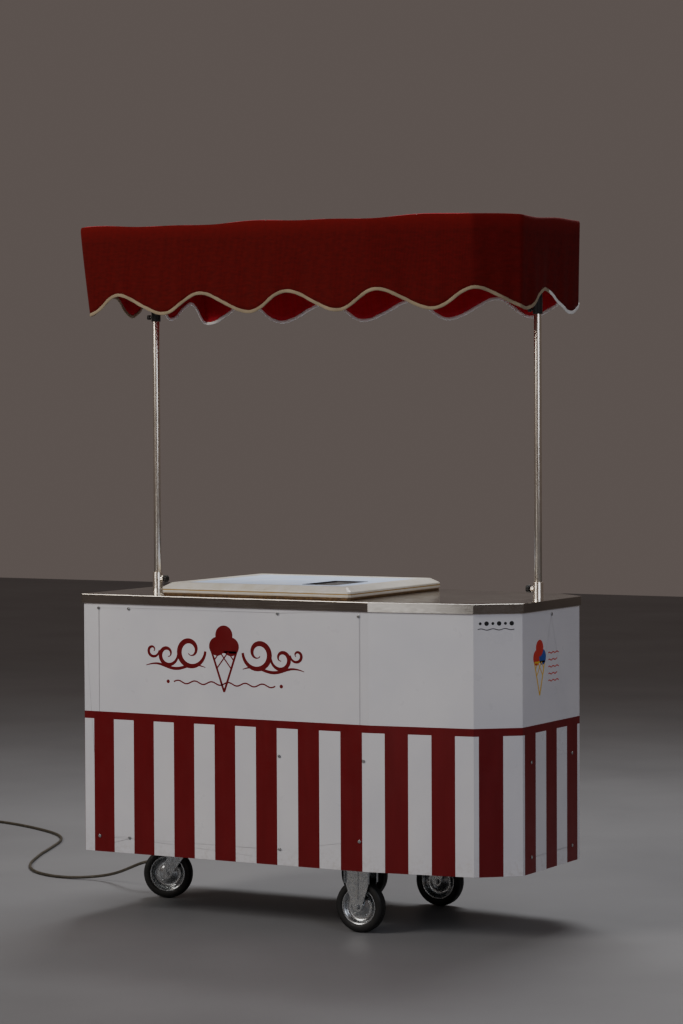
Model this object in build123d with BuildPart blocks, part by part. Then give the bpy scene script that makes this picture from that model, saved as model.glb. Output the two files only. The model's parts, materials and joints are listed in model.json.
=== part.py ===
from build123d import *
from math import ceil, cos, hypot, pi, radians, sin, tan
import os

os.makedirs("parts", exist_ok=True)

# A push vending cart for frozen goods: a castored body of painted sheet on a steel frame,
# a stainless worktop over a chest freezer, and a fabric canopy on two sliding posts.
# Millimetres. X runs along the cart to its pointed end, Y to its back, Z up from the floor.

# ---- driving dimensions ----
LENGTH, DEPTH = 1525.5, 719.0      # plan of the body's panels
STRAIGHT = 1065.0                  # straight side, from the square end
TAPER_X, TAPER_Y = 1406.0, 49.5    # where the shallow facet meets the steep one
NOSE_Y = 150.0                     # where the steep facet meets the end face
PANEL_BOTTOM, PANEL_TOP = 206.0, 1022.0
WORKTOP_TOP = 1052.0
SKIN = 3.0                         # body panel thickness
FILM = 0.3                         # vinyl film thickness
BAND_LOW, BAND_HIGH = 643.0, 667.0
STRIPE, FIRST_STRIPE = 77.2, 36.5
SEAM_X = 272.0                     # butt joint between side and nose panels
TUBE = 40.0                        # base channel
STEEL = 2.5                        # frame sheet thickness
ANGLE = 25.0                       # top frame and uprights
NOSING, OVERHANG = 2.0, 6.0        # worktop sheet and its overhang
POST_X = (-705.0, 717.0)
POST_R, POST_WALL = 12.0, 1.5
SLEEVE_R, SLEEVE_TOP = 16.5, 1107.0
POST_FOOT = 626.3
KNOB_Z = 1085.0
CANOPY_TOP, SCALLOP_MID, SCALLOP_AMP = 2250.0, 1994.5, 31.5
SCALLOP_PERIOD, SCALLOP_LOW_X, SCALLOP_SKEW = 322.0, -9.0, 0.034
CLOTH = 3.0
LID_X, LID_Y = (-499.0, 205.0), (-302.5, 324.5)
LID_BASE, LID_EDGE, LID_TOP = 1058.0, 1077.0, 1092.0
LID_FRAME, LID_BEVEL, LID_CORNER = 60.0, 25.0, 8.0
MOUTH = (596.0, 530.0)
CABINET = (716.0, 650.0)
CABINET_BOTTOM, FOAM = 256.0, 58.0
WHEEL_R, RIM_R, TYRE_W = 84.0, 60.0, 38.0
AXLE_R, BORE_GAP = 5.0, 0.05
PLATE_TOP, PLATE_T = PANEL_BOTTOM, 4.0
SWIVEL_AT, SWIVEL_TURN, TRAIL = (-648.0, 36.0), 20.0, 38.0
FIXED_CASTORS = {"front": (228.0, -280.0), "back": (210.0, 300.0), "rear_left": (-81.0, 308.0)}
DOOR_W, DOOR_LOW, DOOR_HIGH, DOOR_GAP = 252.0, 300.0, 900.0, 2.0
CORD_D, CORD_LENGTH = 10.0, 5000.0
TRAY_T = 2.0                       # floor tray
FOOT = 70.0                        # square foot of a post sleeve
BIG = 2000.0                       # side of a cutting box, larger than the body

# ---- plan outline, and the same outline grown or shrunk ----
HALF_L, HALF_D = LENGTH / 2, DEPTH / 2
FRONT_SIDE = [
    (-HALF_L, -HALF_D),
    (STRAIGHT - HALF_L, -HALF_D),
    (TAPER_X - HALF_L, TAPER_Y - HALF_D),
    (HALF_L, NOSE_Y - HALF_D),
]
OUTLINE = FRONT_SIDE + [(x, -y) for x, y in reversed(FRONT_SIDE)]


def plan(inset=0.0):
    """The body's outline as a face, moved inwards by inset."""
    face = make_face(Polyline(*OUTLINE, close=True))
    return offset(face, amount=-inset, kind=Kind.INTERSECTION) if inset else face


def ring(outer, inner, low, high):
    """A wall that follows the outline between two insets and two heights."""
    section = Sketch() + plan(outer) - plan(inner)
    return Pos(0, 0, low) * extrude(section, amount=high - low)


def write(piece, name):
    piece.part.label = name
    export_step(piece.part, f"parts/{name}.step")


def facet_plane(a, b, low=0.0):
    """Plane on one facet: X along it, Y up, Z outwards, origin at its start."""
    along = (b[0] - a[0], b[1] - a[1], 0)
    outward = (b[1] - a[1], a[0] - b[0], 0)
    return Plane(origin=(a[0], a[1], low), x_dir=along, z_dir=outward)


def length_of(a, b):
    return hypot(b[0] - a[0], b[1] - a[1])


FACETS = list(zip(OUTLINE[:-1], OUTLINE[1:]))          # all but the square end
BACK_TAPER = facet_plane(*FACETS[5])
BACK_TAPER_W = length_of(*FACETS[5])
DOOR_U = (BACK_TAPER_W - DOOR_W) / 2
HINGE_OUT, KNUCKLE_R, LEAF = 5.0, 3.6, 1.6

# ---- screws through the panels: a plane on the film at each head ----
SCREW_HEAD_R, SCREW_HEAD_H, SCREW_SHANK_R, SCREW_REACH = 5.5, 2.6, 2.2, 12.0
SIDE_SCREWS = [(58, 1007), (175, 1007), (737, 1007), (57, 257), (173, 257), (741, 257), (741, 554)]
SEAM_SCREWS = [(1030, 1007), (1046, 554), (1030, 300)]


def screw_planes():
    planes = []
    front, back = facet_plane(*FACETS[0]), facet_plane(*FACETS[6])
    for along, height in SIDE_SCREWS + SEAM_SCREWS:
        planes.append(front * Plane(origin=(along, height, FILM)))
        planes.append(back * Plane(origin=(STRAIGHT - along, height, FILM)))
    end = facet_plane(*FACETS[3])
    width = length_of(*FACETS[3])
    for along in (60, width - 60):
        for height in (257, 554):
            planes.append(end * Plane(origin=(along, height, FILM)))
    planes.append(end * Plane(origin=(width / 2, 1007, FILM)))
    left = facet_plane(OUTLINE[-1], OUTLINE[0])
    for along in (60, DEPTH - 60):
        for height in (257, 554, 1007):
            planes.append(left * Plane(origin=(along, height, FILM)))
    return planes


SCREWS = screw_planes()
SCREW_HOLES = Part() + [
    plane * Cylinder(SCREW_SHANK_R, 2 * SCREW_REACH) for plane in SCREWS
]

# ---- base frame: a channel round the outline with cross members ----
CROSS_X = (-673.0, -94.0, 225.0, 707.0)
PLATE_AT = [SWIVEL_AT, *FIXED_CASTORS.values()]
PLATE_SIZE, PLATE_MARGIN, BOLT_PITCH, BOLT_R = (122.0, 80.0), 10.0, (104.0, 58.0), 4.0
BOLT_HOLE_R = BOLT_R + 0.3
CHANNEL_TOP = PANEL_BOTTOM + TUBE
channel = ring(SKIN, SKIN + TUBE, PANEL_BOTTOM, CHANNEL_TOP)
channel_hollow = ring(SKIN + STEEL, SKIN + TUBE + 1, PANEL_BOTTOM + STEEL, CHANNEL_TOP - STEEL)
cross_bars = Part() + [
    Pos(x, 0, CHANNEL_TOP - TUBE / 2) * Box(TUBE, DEPTH, TUBE)
    - Pos(x, 0, CHANNEL_TOP - TUBE / 2 - STEEL) * Box(TUBE - 2 * STEEL, DEPTH, TUBE)
    for x in CROSS_X
]
inside_channel = Pos(0, 0, PANEL_BOTTOM) * extrude(plan(SKIN + STEEL), amount=TUBE)
with BuildPart() as base_frame:
    add(channel)
    add(channel_hollow, mode=Mode.SUBTRACT)
    add(cross_bars & inside_channel)
    with BuildSketch(Plane.XY.offset(PANEL_BOTTOM)):
        with Locations(*PLATE_AT):
            Rectangle(PLATE_SIZE[0] + PLATE_MARGIN, PLATE_SIZE[1] + PLATE_MARGIN)
    extrude(amount=STEEL)
    with BuildSketch(Plane.XY.offset(PANEL_BOTTOM)):
        with Locations(*PLATE_AT):
            with GridLocations(*BOLT_PITCH, 2, 2):
                Circle(BOLT_HOLE_R)
    extrude(amount=TUBE, mode=Mode.SUBTRACT)
write(base_frame, "base_frame")

# ---- uprights and top frame ----
UPRIGHT_INSET = SKIN + STEEL + ANGLE / 2
UPRIGHTS = [
    (-HALF_L + UPRIGHT_INSET, HALF_D - UPRIGHT_INSET),
    (SEAM_X, HALF_D - UPRIGHT_INSET),
    (TAPER_X - HALF_L - 40, HALF_D - TAPER_Y - UPRIGHT_INSET - 9),
    (HALF_L - UPRIGHT_INSET, HALF_D - NOSE_Y - 2 * ANGLE),
]
with BuildPart() as frame_uprights:
    with BuildSketch(Plane.XY.offset(CHANNEL_TOP)):
        with Locations(*UPRIGHTS, *[(x, -y) for x, y in UPRIGHTS]):
            Rectangle(ANGLE, ANGLE)
            Rectangle(ANGLE - 2 * STEEL, ANGLE - 2 * STEEL, mode=Mode.SUBTRACT)
    extrude(amount=PANEL_TOP - STEEL - CHANNEL_TOP)
    add(SCREW_HOLES, mode=Mode.SUBTRACT)
write(frame_uprights, "frame_uprights")

top_angle = ring(SKIN, SKIN + ANGLE, PANEL_TOP - STEEL, PANEL_TOP)
top_angle_side = ring(SKIN, SKIN + STEEL, PANEL_TOP - ANGLE, PANEL_TOP - STEEL)
with BuildPart() as top_frame:
    add(top_angle)
    add(top_angle_side)
    add(SCREW_HOLES, mode=Mode.SUBTRACT)
write(top_frame, "top_frame")

# ---- floor tray ----
GLAND_AT = (-706.5, 200.0)
GLAND_R = 10.0
tray_face = plan(SKIN)
with BuildPart() as floor_tray:
    with BuildSketch(Plane.XY.offset(CHANNEL_TOP)):
        add(tray_face)
        with Locations(*UPRIGHTS, *[(x, -y) for x, y in UPRIGHTS]):
            Rectangle(ANGLE + 1, ANGLE + 1, mode=Mode.SUBTRACT)
        with Locations(*[(x, 0) for x in POST_X]):
            Rectangle(FOOT + 2, FOOT + 2, mode=Mode.SUBTRACT)
        with Locations(GLAND_AT):
            Circle(GLAND_R, mode=Mode.SUBTRACT)
    extrude(amount=TRAY_T)
write(floor_tray, "floor_tray")

# ---- body panels: flat sides, a bent nose, a flat square end ----
SEAM_GAP, BODY_MIDDLE = 0.5, (PANEL_BOTTOM + PANEL_TOP) / 2
panel_wall = ring(0, SKIN, PANEL_BOTTOM, PANEL_TOP)
door_hole = BACK_TAPER * Pos(BACK_TAPER_W / 2, (DOOR_LOW + DOOR_HIGH) / 2, 0) * Box(
    DOOR_W + 2 * DOOR_GAP, DOOR_HIGH - DOOR_LOW + 2 * DOOR_GAP, 6 * SKIN)
front_zone, back_zone = [
    Pos(SEAM_X - BIG / 2, side * HALF_D, BODY_MIDDLE) * Box(BIG, 2 * SKIN, BIG) for side in (-1, 1)
]
nose_zone = Pos(SEAM_X + SEAM_GAP + BIG / 2, 0, BODY_MIDDLE) * Box(BIG, BIG, BIG)
end_zone = Pos(-HALF_L, 0, BODY_MIDDLE) * Box(2 * SKIN, DEPTH - 2 * SKIN, BIG)
drilled_wall = panel_wall - SCREW_HOLES - door_hole
with BuildPart() as front_panel:
    add(drilled_wall & front_zone)
write(front_panel, "front_panel")
with BuildPart() as back_panel:
    add(drilled_wall & back_zone)
write(back_panel, "back_panel")
with BuildPart() as left_panel:
    add(drilled_wall & end_zone)
write(left_panel, "left_panel")
with BuildPart() as nose_panel:
    add(drilled_wall & nose_zone)
write(nose_panel, "nose_panel")

# ---- red vinyl: a band all round and stripes below it ----


def stripe_boxes():
    """One box for each stripe on each facet it falls on, wrapping round the corners."""
    boxes, start = [], 0.0
    height = BAND_LOW - PANEL_BOTTOM
    for a, b in FACETS + [(OUTLINE[-1], OUTLINE[0])]:
        width = length_of(a, b)
        first = int((start - FIRST_STRIPE) // (2 * STRIPE))
        for number in range(first, first + ceil(width / STRIPE) + 2):
            low = max(FIRST_STRIPE + 2 * STRIPE * number - start, 0)
            high = min(FIRST_STRIPE + 2 * STRIPE * number + STRIPE - start, width)
            if high - low > 1:
                place = facet_plane(a, b, PANEL_BOTTOM) * Pos((low + high) / 2, height / 2, FILM / 2)
                boxes.append(place * Box(high - low, height, FILM))
        start += width
    return boxes


film = Part() + stripe_boxes() + ring(-FILM, 0, BAND_LOW, BAND_HIGH) - SCREW_HOLES
with BuildPart() as stripe_film:
    add(film)
    add(door_hole, mode=Mode.SUBTRACT)
write(stripe_film, "stripe_film")
door_zone = BACK_TAPER * Pos(BACK_TAPER_W / 2, (DOOR_LOW + DOOR_HIGH) / 2, 0) * Box(
    DOOR_W, DOOR_HIGH - DOOR_LOW, 6 * SKIN)

with BuildPart() as panel_screws:
    for screw in SCREWS:
        with Locations(screw):
            Cylinder(SCREW_HEAD_R, SCREW_HEAD_H, align=(Align.CENTER, Align.CENTER, Align.MIN))
            Cylinder(SCREW_SHANK_R, SCREW_REACH, align=(Align.CENTER, Align.CENTER, Align.MAX))
    fillet(panel_screws.edges().filter_by(GeomType.CIRCLE).group_by(lambda e: round(e.radius, 2))[-1]
           .filter_by(lambda e: e.radius > SCREW_SHANK_R + 1), radius=1.0)
write(panel_screws, "panel_screws")

# ---- service door with a louvred vent, in the shallow facet at the back ----


def door_box(u_low, u_high, z_low, z_high, out_low, out_high):
    """A box on the door's facet, between distances along it, heights and depths outwards."""
    middle = Pos((u_low + u_high) / 2, (z_low + z_high) / 2, (out_low + out_high) / 2)
    return BACK_TAPER * middle * Box(u_high - u_low, z_high - z_low, out_high - out_low)


DOOR_U2 = DOOR_U + DOOR_W
HINGE_U, LEAF_W, LEAF_OUT = DOOR_U2 + DOOR_GAP / 2, 22.0, FILM + 0.3
VENT_U, VENT_Z = (DOOR_U + 46, DOOR_U2 - 46), (DOOR_LOW + 40, DOOR_LOW + 220)
VENT_T, HOOD_T, HOOD_OUT = 2.0, 1.5, 7.0
LOUVRES, LOUVRE_H, LOUVRE_EDGE = 8, 9.0, 10.0
LOUVRE_U = (VENT_U[0] + 14, VENT_U[1] - 14)
LOUVRE_PITCH = (VENT_Z[1] - VENT_Z[0] - 2 * LOUVRE_EDGE) / LOUVRES
LOUVRE_Z = [VENT_Z[0] + LOUVRE_EDGE + 3 + LOUVRE_PITCH * n for n in range(LOUVRES)]
louvre_slots = Part() + [
    door_box(*LOUVRE_U, z, z + LOUVRE_H, -3 * SKIN, 3 * SKIN) for z in LOUVRE_Z
]
door_sheet = door_box(DOOR_U, DOOR_U2, DOOR_LOW, DOOR_HIGH, -SKIN, 0) - louvre_slots
with BuildPart() as service_door:
    add(door_sheet)
write(service_door, "service_door")
with BuildPart() as door_film:
    add((film & door_zone) - louvre_slots)
write(door_film, "door_film")

grille_plate = door_box(*VENT_U, *VENT_Z, FILM, FILM + VENT_T) - louvre_slots
louvre_hoods = Part() + [
    door_box(*LOUVRE_U, z + LOUVRE_H, z + LOUVRE_H + HOOD_T, FILM, FILM + HOOD_OUT) for z in LOUVRE_Z
]
with BuildPart() as vent_grille:
    add(grille_plate)
    add(louvre_hoods)
write(vent_grille, "vent_grille")

HINGE_LOW, HINGE_H, KNUCKLES, DOOR_PIN_R = DOOR_LOW + 20, DOOR_HIGH - DOOR_LOW - 40, 9, 1.5
KNUCKLE = HINGE_H / KNUCKLES
hinge_line = BACK_TAPER * Plane(origin=(HINGE_U, HINGE_LOW, HINGE_OUT), x_dir=(1, 0, 0), z_dir=(0, 1, 0))
hinge_pin = hinge_line * Pos(0, 0, HINGE_H / 2) * Cylinder(DOOR_PIN_R, HINGE_H)


def knuckles(offset_count, gap):
    """Every second knuckle of the piano hinge, starting at one end or one further on."""
    return Part() + [
        hinge_line * Pos(0, 0, KNUCKLE * (n + 0.5)) * Cylinder(KNUCKLE_R, KNUCKLE - gap)
        for n in range(offset_count, KNUCKLES, 2)
    ]


def leaf(direction, offset_count):
    """One flat leaf with its knuckles; the other leaf's knuckles are cut clear of it."""
    far, near = HINGE_U + direction * LEAF_W, HINGE_U + direction * 0.2
    flat = door_box(min(far, near), max(far, near), HINGE_LOW, HINGE_LOW + HINGE_H, LEAF_OUT, LEAF_OUT + LEAF)
    clearance = Part() + [
        hinge_line * Pos(0, 0, KNUCKLE * (n + 0.5)) * Cylinder(KNUCKLE_R + 0.4, KNUCKLE)
        for n in range(1 - offset_count, KNUCKLES, 2)
    ]
    return flat - clearance + knuckles(offset_count, 0.6)


fixed_leaf = leaf(1, 0) - hinge_pin + hinge_pin
moving_leaf = leaf(-1, 1) - hinge_line * Pos(0, 0, HINGE_H / 2) * Cylinder(DOOR_PIN_R + BORE_GAP, HINGE_H)
with BuildPart() as door_hinge_fixed:
    add(fixed_leaf)
write(door_hinge_fixed, "door_hinge_fixed")
with BuildPart() as door_hinge_moving:
    add(moving_leaf)
write(door_hinge_moving, "door_hinge_moving")

PULL_U, PULL_Z, PULL_HALF = (DOOR_U + 22, DOOR_U + 34), (660.0, 780.0), 6.0
PULL_OUT = (26.0, 34.0)
pull_bar = door_box(*PULL_U, *PULL_Z, *PULL_OUT)
pull_legs = Part() + [
    door_box(*PULL_U, z - PULL_HALF, z + PULL_HALF, FILM, PULL_OUT[0])
    for z in (PULL_Z[0] + PULL_HALF, PULL_Z[1] - PULL_HALF)
]
with BuildPart() as door_pull:
    add(pull_bar)
    add(pull_legs)
    fillet(door_pull.edges().filter_by(GeomType.LINE).filter_by(Axis.Z), radius=2.5)
write(door_pull, "door_pull")

# ---- worktop: folded stainless sheet over a board ----
FREEZER_X = -142.0
LINER_T, SHELL_T, MOUTH_GAP = 1.5, 1.5, 0.5
MOUTH_CORNER, CABINET_CORNER, SLEEVE_GAP, CUT = 20.0, 12.0, 0.5, 5.0
MOUTH_HOLE = [side + 2 * (LINER_T + MOUTH_GAP) for side in MOUTH]
top_sheet = Pos(0, 0, WORKTOP_TOP - NOSING) * extrude(plan(-OVERHANG), amount=NOSING)
nosing = ring(-OVERHANG, NOSING - OVERHANG, PANEL_TOP, WORKTOP_TOP - NOSING)
board = Pos(0, 0, PANEL_TOP) * extrude(plan(NOSING - OVERHANG), amount=WORKTOP_TOP - NOSING - PANEL_TOP)
with BuildPart() as worktop_openings:
    with BuildSketch(Plane.XY.offset(PANEL_TOP - CUT)):
        with Locations((FREEZER_X, 0)):
            RectangleRounded(*MOUTH_HOLE, MOUTH_CORNER)
        with Locations(*[(x, 0) for x in POST_X]):
            Circle(SLEEVE_R + SLEEVE_GAP)
    extrude(amount=WORKTOP_TOP - PANEL_TOP + 2 * CUT)
with BuildPart() as worktop:
    add(top_sheet)
    add(nosing)
    add(worktop_openings.part, mode=Mode.SUBTRACT)
write(worktop, "worktop")
with BuildPart() as worktop_board:
    add(board)
    add(worktop_openings.part, mode=Mode.SUBTRACT)
write(worktop_board, "worktop_board")

# ---- freezer ----
with BuildPart() as freezer_shell:
    with BuildSketch(Plane.XY.offset(CABINET_BOTTOM)):
        with Locations((FREEZER_X, 0)):
            RectangleRounded(*CABINET, CABINET_CORNER)
    extrude(amount=PANEL_TOP - CABINET_BOTTOM)
    with BuildSketch(Plane.XY.offset(CABINET_BOTTOM + SHELL_T)):
        with Locations((FREEZER_X, 0)):
            RectangleRounded(CABINET[0] - 2 * SHELL_T, CABINET[1] - 2 * SHELL_T, CABINET_CORNER - SHELL_T)
    extrude(amount=PANEL_TOP - CABINET_BOTTOM, mode=Mode.SUBTRACT)
write(freezer_shell, "freezer_shell")

LINER_BASE = CABINET_BOTTOM + SHELL_T + FOAM
with BuildPart() as freezer_foam:
    with BuildSketch(Plane.XY.offset(CABINET_BOTTOM + SHELL_T)):
        with Locations((FREEZER_X, 0)):
            RectangleRounded(CABINET[0] - 2 * SHELL_T, CABINET[1] - 2 * SHELL_T, CABINET_CORNER - SHELL_T)
    extrude(amount=PANEL_TOP - CABINET_BOTTOM - SHELL_T)
    with BuildSketch(Plane.XY.offset(LINER_BASE)):
        with Locations((FREEZER_X, 0)):
            RectangleRounded(MOUTH[0] + 2 * LINER_T, MOUTH[1] + 2 * LINER_T, MOUTH_CORNER)
    extrude(amount=PANEL_TOP, mode=Mode.SUBTRACT)
write(freezer_foam, "freezer_foam")

LINER_FLANGE = 16.0
with BuildPart() as freezer_liner:
    with BuildSketch(Plane.XY.offset(LINER_BASE)):
        with Locations((FREEZER_X, 0)):
            RectangleRounded(MOUTH[0] + 2 * LINER_T, MOUTH[1] + 2 * LINER_T, MOUTH_CORNER)
    extrude(amount=WORKTOP_TOP - LINER_BASE)
    with BuildSketch(Plane.XY.offset(WORKTOP_TOP)):
        with Locations((FREEZER_X, 0)):
            RectangleRounded(MOUTH[0] + 2 * LINER_FLANGE, MOUTH[1] + 2 * LINER_FLANGE, MOUTH_CORNER + 10)
    extrude(amount=LINER_T)
    with BuildSketch(Plane.XY.offset(LINER_BASE + LINER_T)):
        with Locations((FREEZER_X, 0)):
            RectangleRounded(*MOUTH, MOUTH_CORNER - LINER_T)
    extrude(amount=WORKTOP_TOP, mode=Mode.SUBTRACT)
write(freezer_liner, "freezer_liner")

COMPRESSOR_AT, COMPRESSOR_R, COMPRESSOR_H = (400.0, 60.0), 82.0, 150.0
COMPRESSOR_PLATE, COMPRESSOR_PLATE_T, RAIL_PLATE = (230.0, 150.0), 3.0, (214.0, 134.0)
RUBBER_PITCH, RUBBER_R, RUBBER_H, DOME_R = (190.0, 110.0), 12.0, 18.0, 34.0
RUBBER_Z = CHANNEL_TOP + TRAY_T + COMPRESSOR_PLATE_T
with BuildPart() as compressor:
    with BuildSketch(Plane.XY.offset(CHANNEL_TOP + TRAY_T)):
        with Locations(COMPRESSOR_AT):
            RectangleRounded(*COMPRESSOR_PLATE, 15)
    extrude(amount=COMPRESSOR_PLATE_T)
    with BuildSketch(Plane.XY.offset(RUBBER_Z)):
        with Locations(COMPRESSOR_AT):
            with GridLocations(*RUBBER_PITCH, 2, 2):
                Circle(RUBBER_R)
    extrude(amount=RUBBER_H)
    with BuildSketch(Plane.XY.offset(RUBBER_Z + RUBBER_H)):
        with Locations(COMPRESSOR_AT):
            Rectangle(*RAIL_PLATE)
    extrude(amount=COMPRESSOR_PLATE_T)
    with BuildSketch(Plane.XY.offset(RUBBER_Z + RUBBER_H + COMPRESSOR_PLATE_T)):
        with Locations(COMPRESSOR_AT):
            Circle(COMPRESSOR_R)
    extrude(amount=COMPRESSOR_H)
    fillet(compressor.edges().filter_by(GeomType.CIRCLE).group_by(Axis.Z)[-1], radius=DOME_R)
write(compressor, "compressor")

CONDENSER_X, CONDENSER_Y, CONDENSER_Z = (300.0, 560.0), (-200.0, -160.0), (CHANNEL_TOP + 4, CHANNEL_TOP + 204)
FINS, FIN_T, TUBES, TUBE_PITCH, TUBE_R, TUBE_OUT = 26, 0.8, 5, 40.0, 4.0, 12.0
with BuildPart() as condenser:
    fin_pitch = (CONDENSER_X[1] - CONDENSER_X[0]) / (FINS - 1)
    for fin in range(FINS):
        with Locations((CONDENSER_X[0] + fin_pitch * fin, sum(CONDENSER_Y) / 2, sum(CONDENSER_Z) / 2)):
            Box(FIN_T, CONDENSER_Y[1] - CONDENSER_Y[0], CONDENSER_Z[1] - CONDENSER_Z[0])
    for row in range(TUBES):
        height = CONDENSER_Z[0] + TUBE_PITCH * (row + 0.5)
        with Locations(Location((sum(CONDENSER_X) / 2, sum(CONDENSER_Y) / 2, height), (0, 90, 0))):
            Cylinder(TUBE_R, CONDENSER_X[1] - CONDENSER_X[0] + 2 * TUBE_OUT)
write(condenser, "condenser")

THERMOSTAT_X, THERMOSTAT_Y, THERMOSTAT_Z = (216.0, 256.0), (210.0, 280.0), (800.0, 880.0)
DIAL_R, DIAL_H, DIAL_GAP, SPINDLE_R, SPINDLE_IN = 15.0, 12.0, 0.5, 3.0, 9.0
with BuildPart() as thermostat:
    with Locations((sum(THERMOSTAT_X) / 2, sum(THERMOSTAT_Y) / 2, sum(THERMOSTAT_Z) / 2)):
        Box(*[span[1] - span[0] for span in (THERMOSTAT_X, THERMOSTAT_Y, THERMOSTAT_Z)])
    fillet(thermostat.edges().filter_by(Axis.Z), radius=4)
    with Locations(Location((sum(THERMOSTAT_X) / 2, THERMOSTAT_Y[1], sum(THERMOSTAT_Z) / 2), (90, 0, 0))):
        Cylinder(SPINDLE_R + BORE_GAP, 2 * SPINDLE_IN + 2, mode=Mode.SUBTRACT)
write(thermostat, "thermostat")
with BuildPart() as thermostat_knob:
    dial = Plane(origin=(sum(THERMOSTAT_X) / 2, THERMOSTAT_Y[1], sum(THERMOSTAT_Z) / 2),
                 x_dir=(1, 0, 0), z_dir=(0, 1, 0))
    with BuildSketch(dial.offset(DIAL_GAP)):
        Circle(DIAL_R)
        with Locations((0, DIAL_R)):
            Rectangle(3, 4)
    extrude(amount=DIAL_H)
    with BuildSketch(dial.offset(-SPINDLE_IN)):
        Circle(SPINDLE_R)
    extrude(amount=SPINDLE_IN + DIAL_GAP)
write(thermostat_knob, "thermostat_knob")

# ---- lid ----
LID_W, LID_D = LID_X[1] - LID_X[0], LID_Y[1] - LID_Y[0]
LID_AT = (sum(LID_X) / 2, sum(LID_Y) / 2)


def chamfered(width, depth, corner):
    """Corners of a rectangle with cut corners."""
    x, y = width / 2, depth / 2
    return [(x, -y + corner), (x, y - corner), (x - corner, y), (corner - x, y),
            (-x, y - corner), (-x, corner - y), (corner - x, -y), (x - corner, -y)]


GASKET_H = LID_BASE - WORKTOP_TOP
PANEL_RECESS = 1.5
with BuildPart() as lid_frame:
    with BuildSketch(Plane.XY.offset(LID_BASE)):
        with Locations(LID_AT):
            Polygon(*chamfered(LID_W, LID_D, LID_CORNER))
    extrude(amount=LID_EDGE - LID_BASE)
    with BuildSketch(Plane.XY.offset(LID_EDGE)):
        with Locations(LID_AT):
            Polygon(*chamfered(LID_W, LID_D, LID_CORNER))
    with BuildSketch(Plane.XY.offset(LID_TOP)):
        with Locations(LID_AT):
            Polygon(*chamfered(LID_W - 2 * LID_BEVEL, LID_D - 2 * LID_BEVEL, LID_CORNER / 2))
    loft()
    with BuildSketch(Plane.XY.offset(LID_BASE)):
        with Locations(LID_AT):
            Rectangle(LID_W - 2 * LID_FRAME, LID_D - 2 * LID_FRAME)
    extrude(amount=LID_TOP - LID_BASE, mode=Mode.SUBTRACT)
write(lid_frame, "lid_frame")

GRIP_AT, GRIP_SIZE, GRIP_DEEP, GRIP_CORNER = (22.0, -70.0), (126.0, 230.0), 6.0, 12.0
GRIP_WALL, GRIP_FLOOR = 8.0, 2.0
with BuildPart() as lid_panel:
    with BuildSketch(Plane.XY.offset(LID_BASE)):
        with Locations(LID_AT):
            Rectangle(LID_W - 2 * LID_FRAME, LID_D - 2 * LID_FRAME)
    extrude(amount=LID_TOP - PANEL_RECESS - LID_BASE)
    with BuildSketch(Plane.XY.offset(LID_TOP - PANEL_RECESS - GRIP_DEEP)):
        with Locations(GRIP_AT):
            RectangleRounded(*GRIP_SIZE, GRIP_CORNER)
    extrude(amount=GRIP_DEEP, mode=Mode.SUBTRACT)
write(lid_panel, "lid_panel")
with BuildPart() as lid_grip:
    with BuildSketch(Plane.XY.offset(LID_TOP - PANEL_RECESS - GRIP_DEEP)):
        with Locations(GRIP_AT):
            RectangleRounded(*GRIP_SIZE, GRIP_CORNER)
    extrude(amount=GRIP_DEEP + 1)
    with BuildSketch(Plane.XY.offset(LID_TOP - PANEL_RECESS - GRIP_DEEP + GRIP_FLOOR)):
        with Locations(GRIP_AT):
            RectangleRounded(GRIP_SIZE[0] - 2 * GRIP_WALL, GRIP_SIZE[1] - 2 * GRIP_WALL, GRIP_CORNER - 4)
    extrude(amount=GRIP_DEEP, mode=Mode.SUBTRACT)
write(lid_grip, "lid_grip")
with BuildPart() as lid_gasket:
    with BuildSketch(Plane.XY.offset(WORKTOP_TOP + 0.3)):
        with Locations(LID_AT):
            Polygon(*chamfered(LID_W - 6, LID_D - 6, LID_CORNER))
            Rectangle(LID_W - 40, LID_D - 40, mode=Mode.SUBTRACT)
    extrude(amount=GASKET_H - 0.3)
write(lid_gasket, "lid_gasket")

LID_HINGE_Y, LID_HINGE_Z, LID_HINGE_X, LID_HINGE_W = LID_Y[1] + 6, WORKTOP_TOP + 8, (-340.0, 56.0), 70.0
LID_PIN_R, LID_KNUCKLE_R = 3.0, 5.5


def hinge_barrel(x_low, x_high, radius):
    """A round bar along the lid's hinge line."""
    middle = ((x_low + x_high) / 2, LID_HINGE_Y, LID_HINGE_Z)
    return Location(middle, (0, 90, 0)) * Cylinder(radius, x_high - x_low)


MIDDLE_HALF, BARREL_GAP, STRAP_T, LEAF_T = 14.0, 0.3, 5.0, 2.5
lid_pins = Part() + [
    hinge_barrel(x - LID_HINGE_W / 2, x + LID_HINGE_W / 2, LID_PIN_R) for x in LID_HINGE_X
]
fixed_ends = [
    sorted((x + side * (MIDDLE_HALF + BARREL_GAP), x + side * LID_HINGE_W / 2))
    for x in LID_HINGE_X for side in (-1, 1)
]
fixed_barrels = Part() + [hinge_barrel(*ends, LID_KNUCKLE_R) for ends in fixed_ends]
hinge_leaves = Part() + [
    Pos(x, LID_HINGE_Y + 12, WORKTOP_TOP + LEAF_T / 2) * Box(LID_HINGE_W, 30, LEAF_T) for x in LID_HINGE_X
]
hinge_stands = Part() + [
    Pos((low + high) / 2, LID_HINGE_Y, (WORKTOP_TOP + LID_HINGE_Z) / 2)
    * Box(high - low, 6, LID_HINGE_Z - WORKTOP_TOP)
    for low, high in fixed_ends
]
with BuildPart() as lid_hinge_fixed:
    add(hinge_leaves)
    add(hinge_stands)
    add(fixed_barrels)
    add(lid_pins)
write(lid_hinge_fixed, "lid_hinge_fixed")

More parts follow.
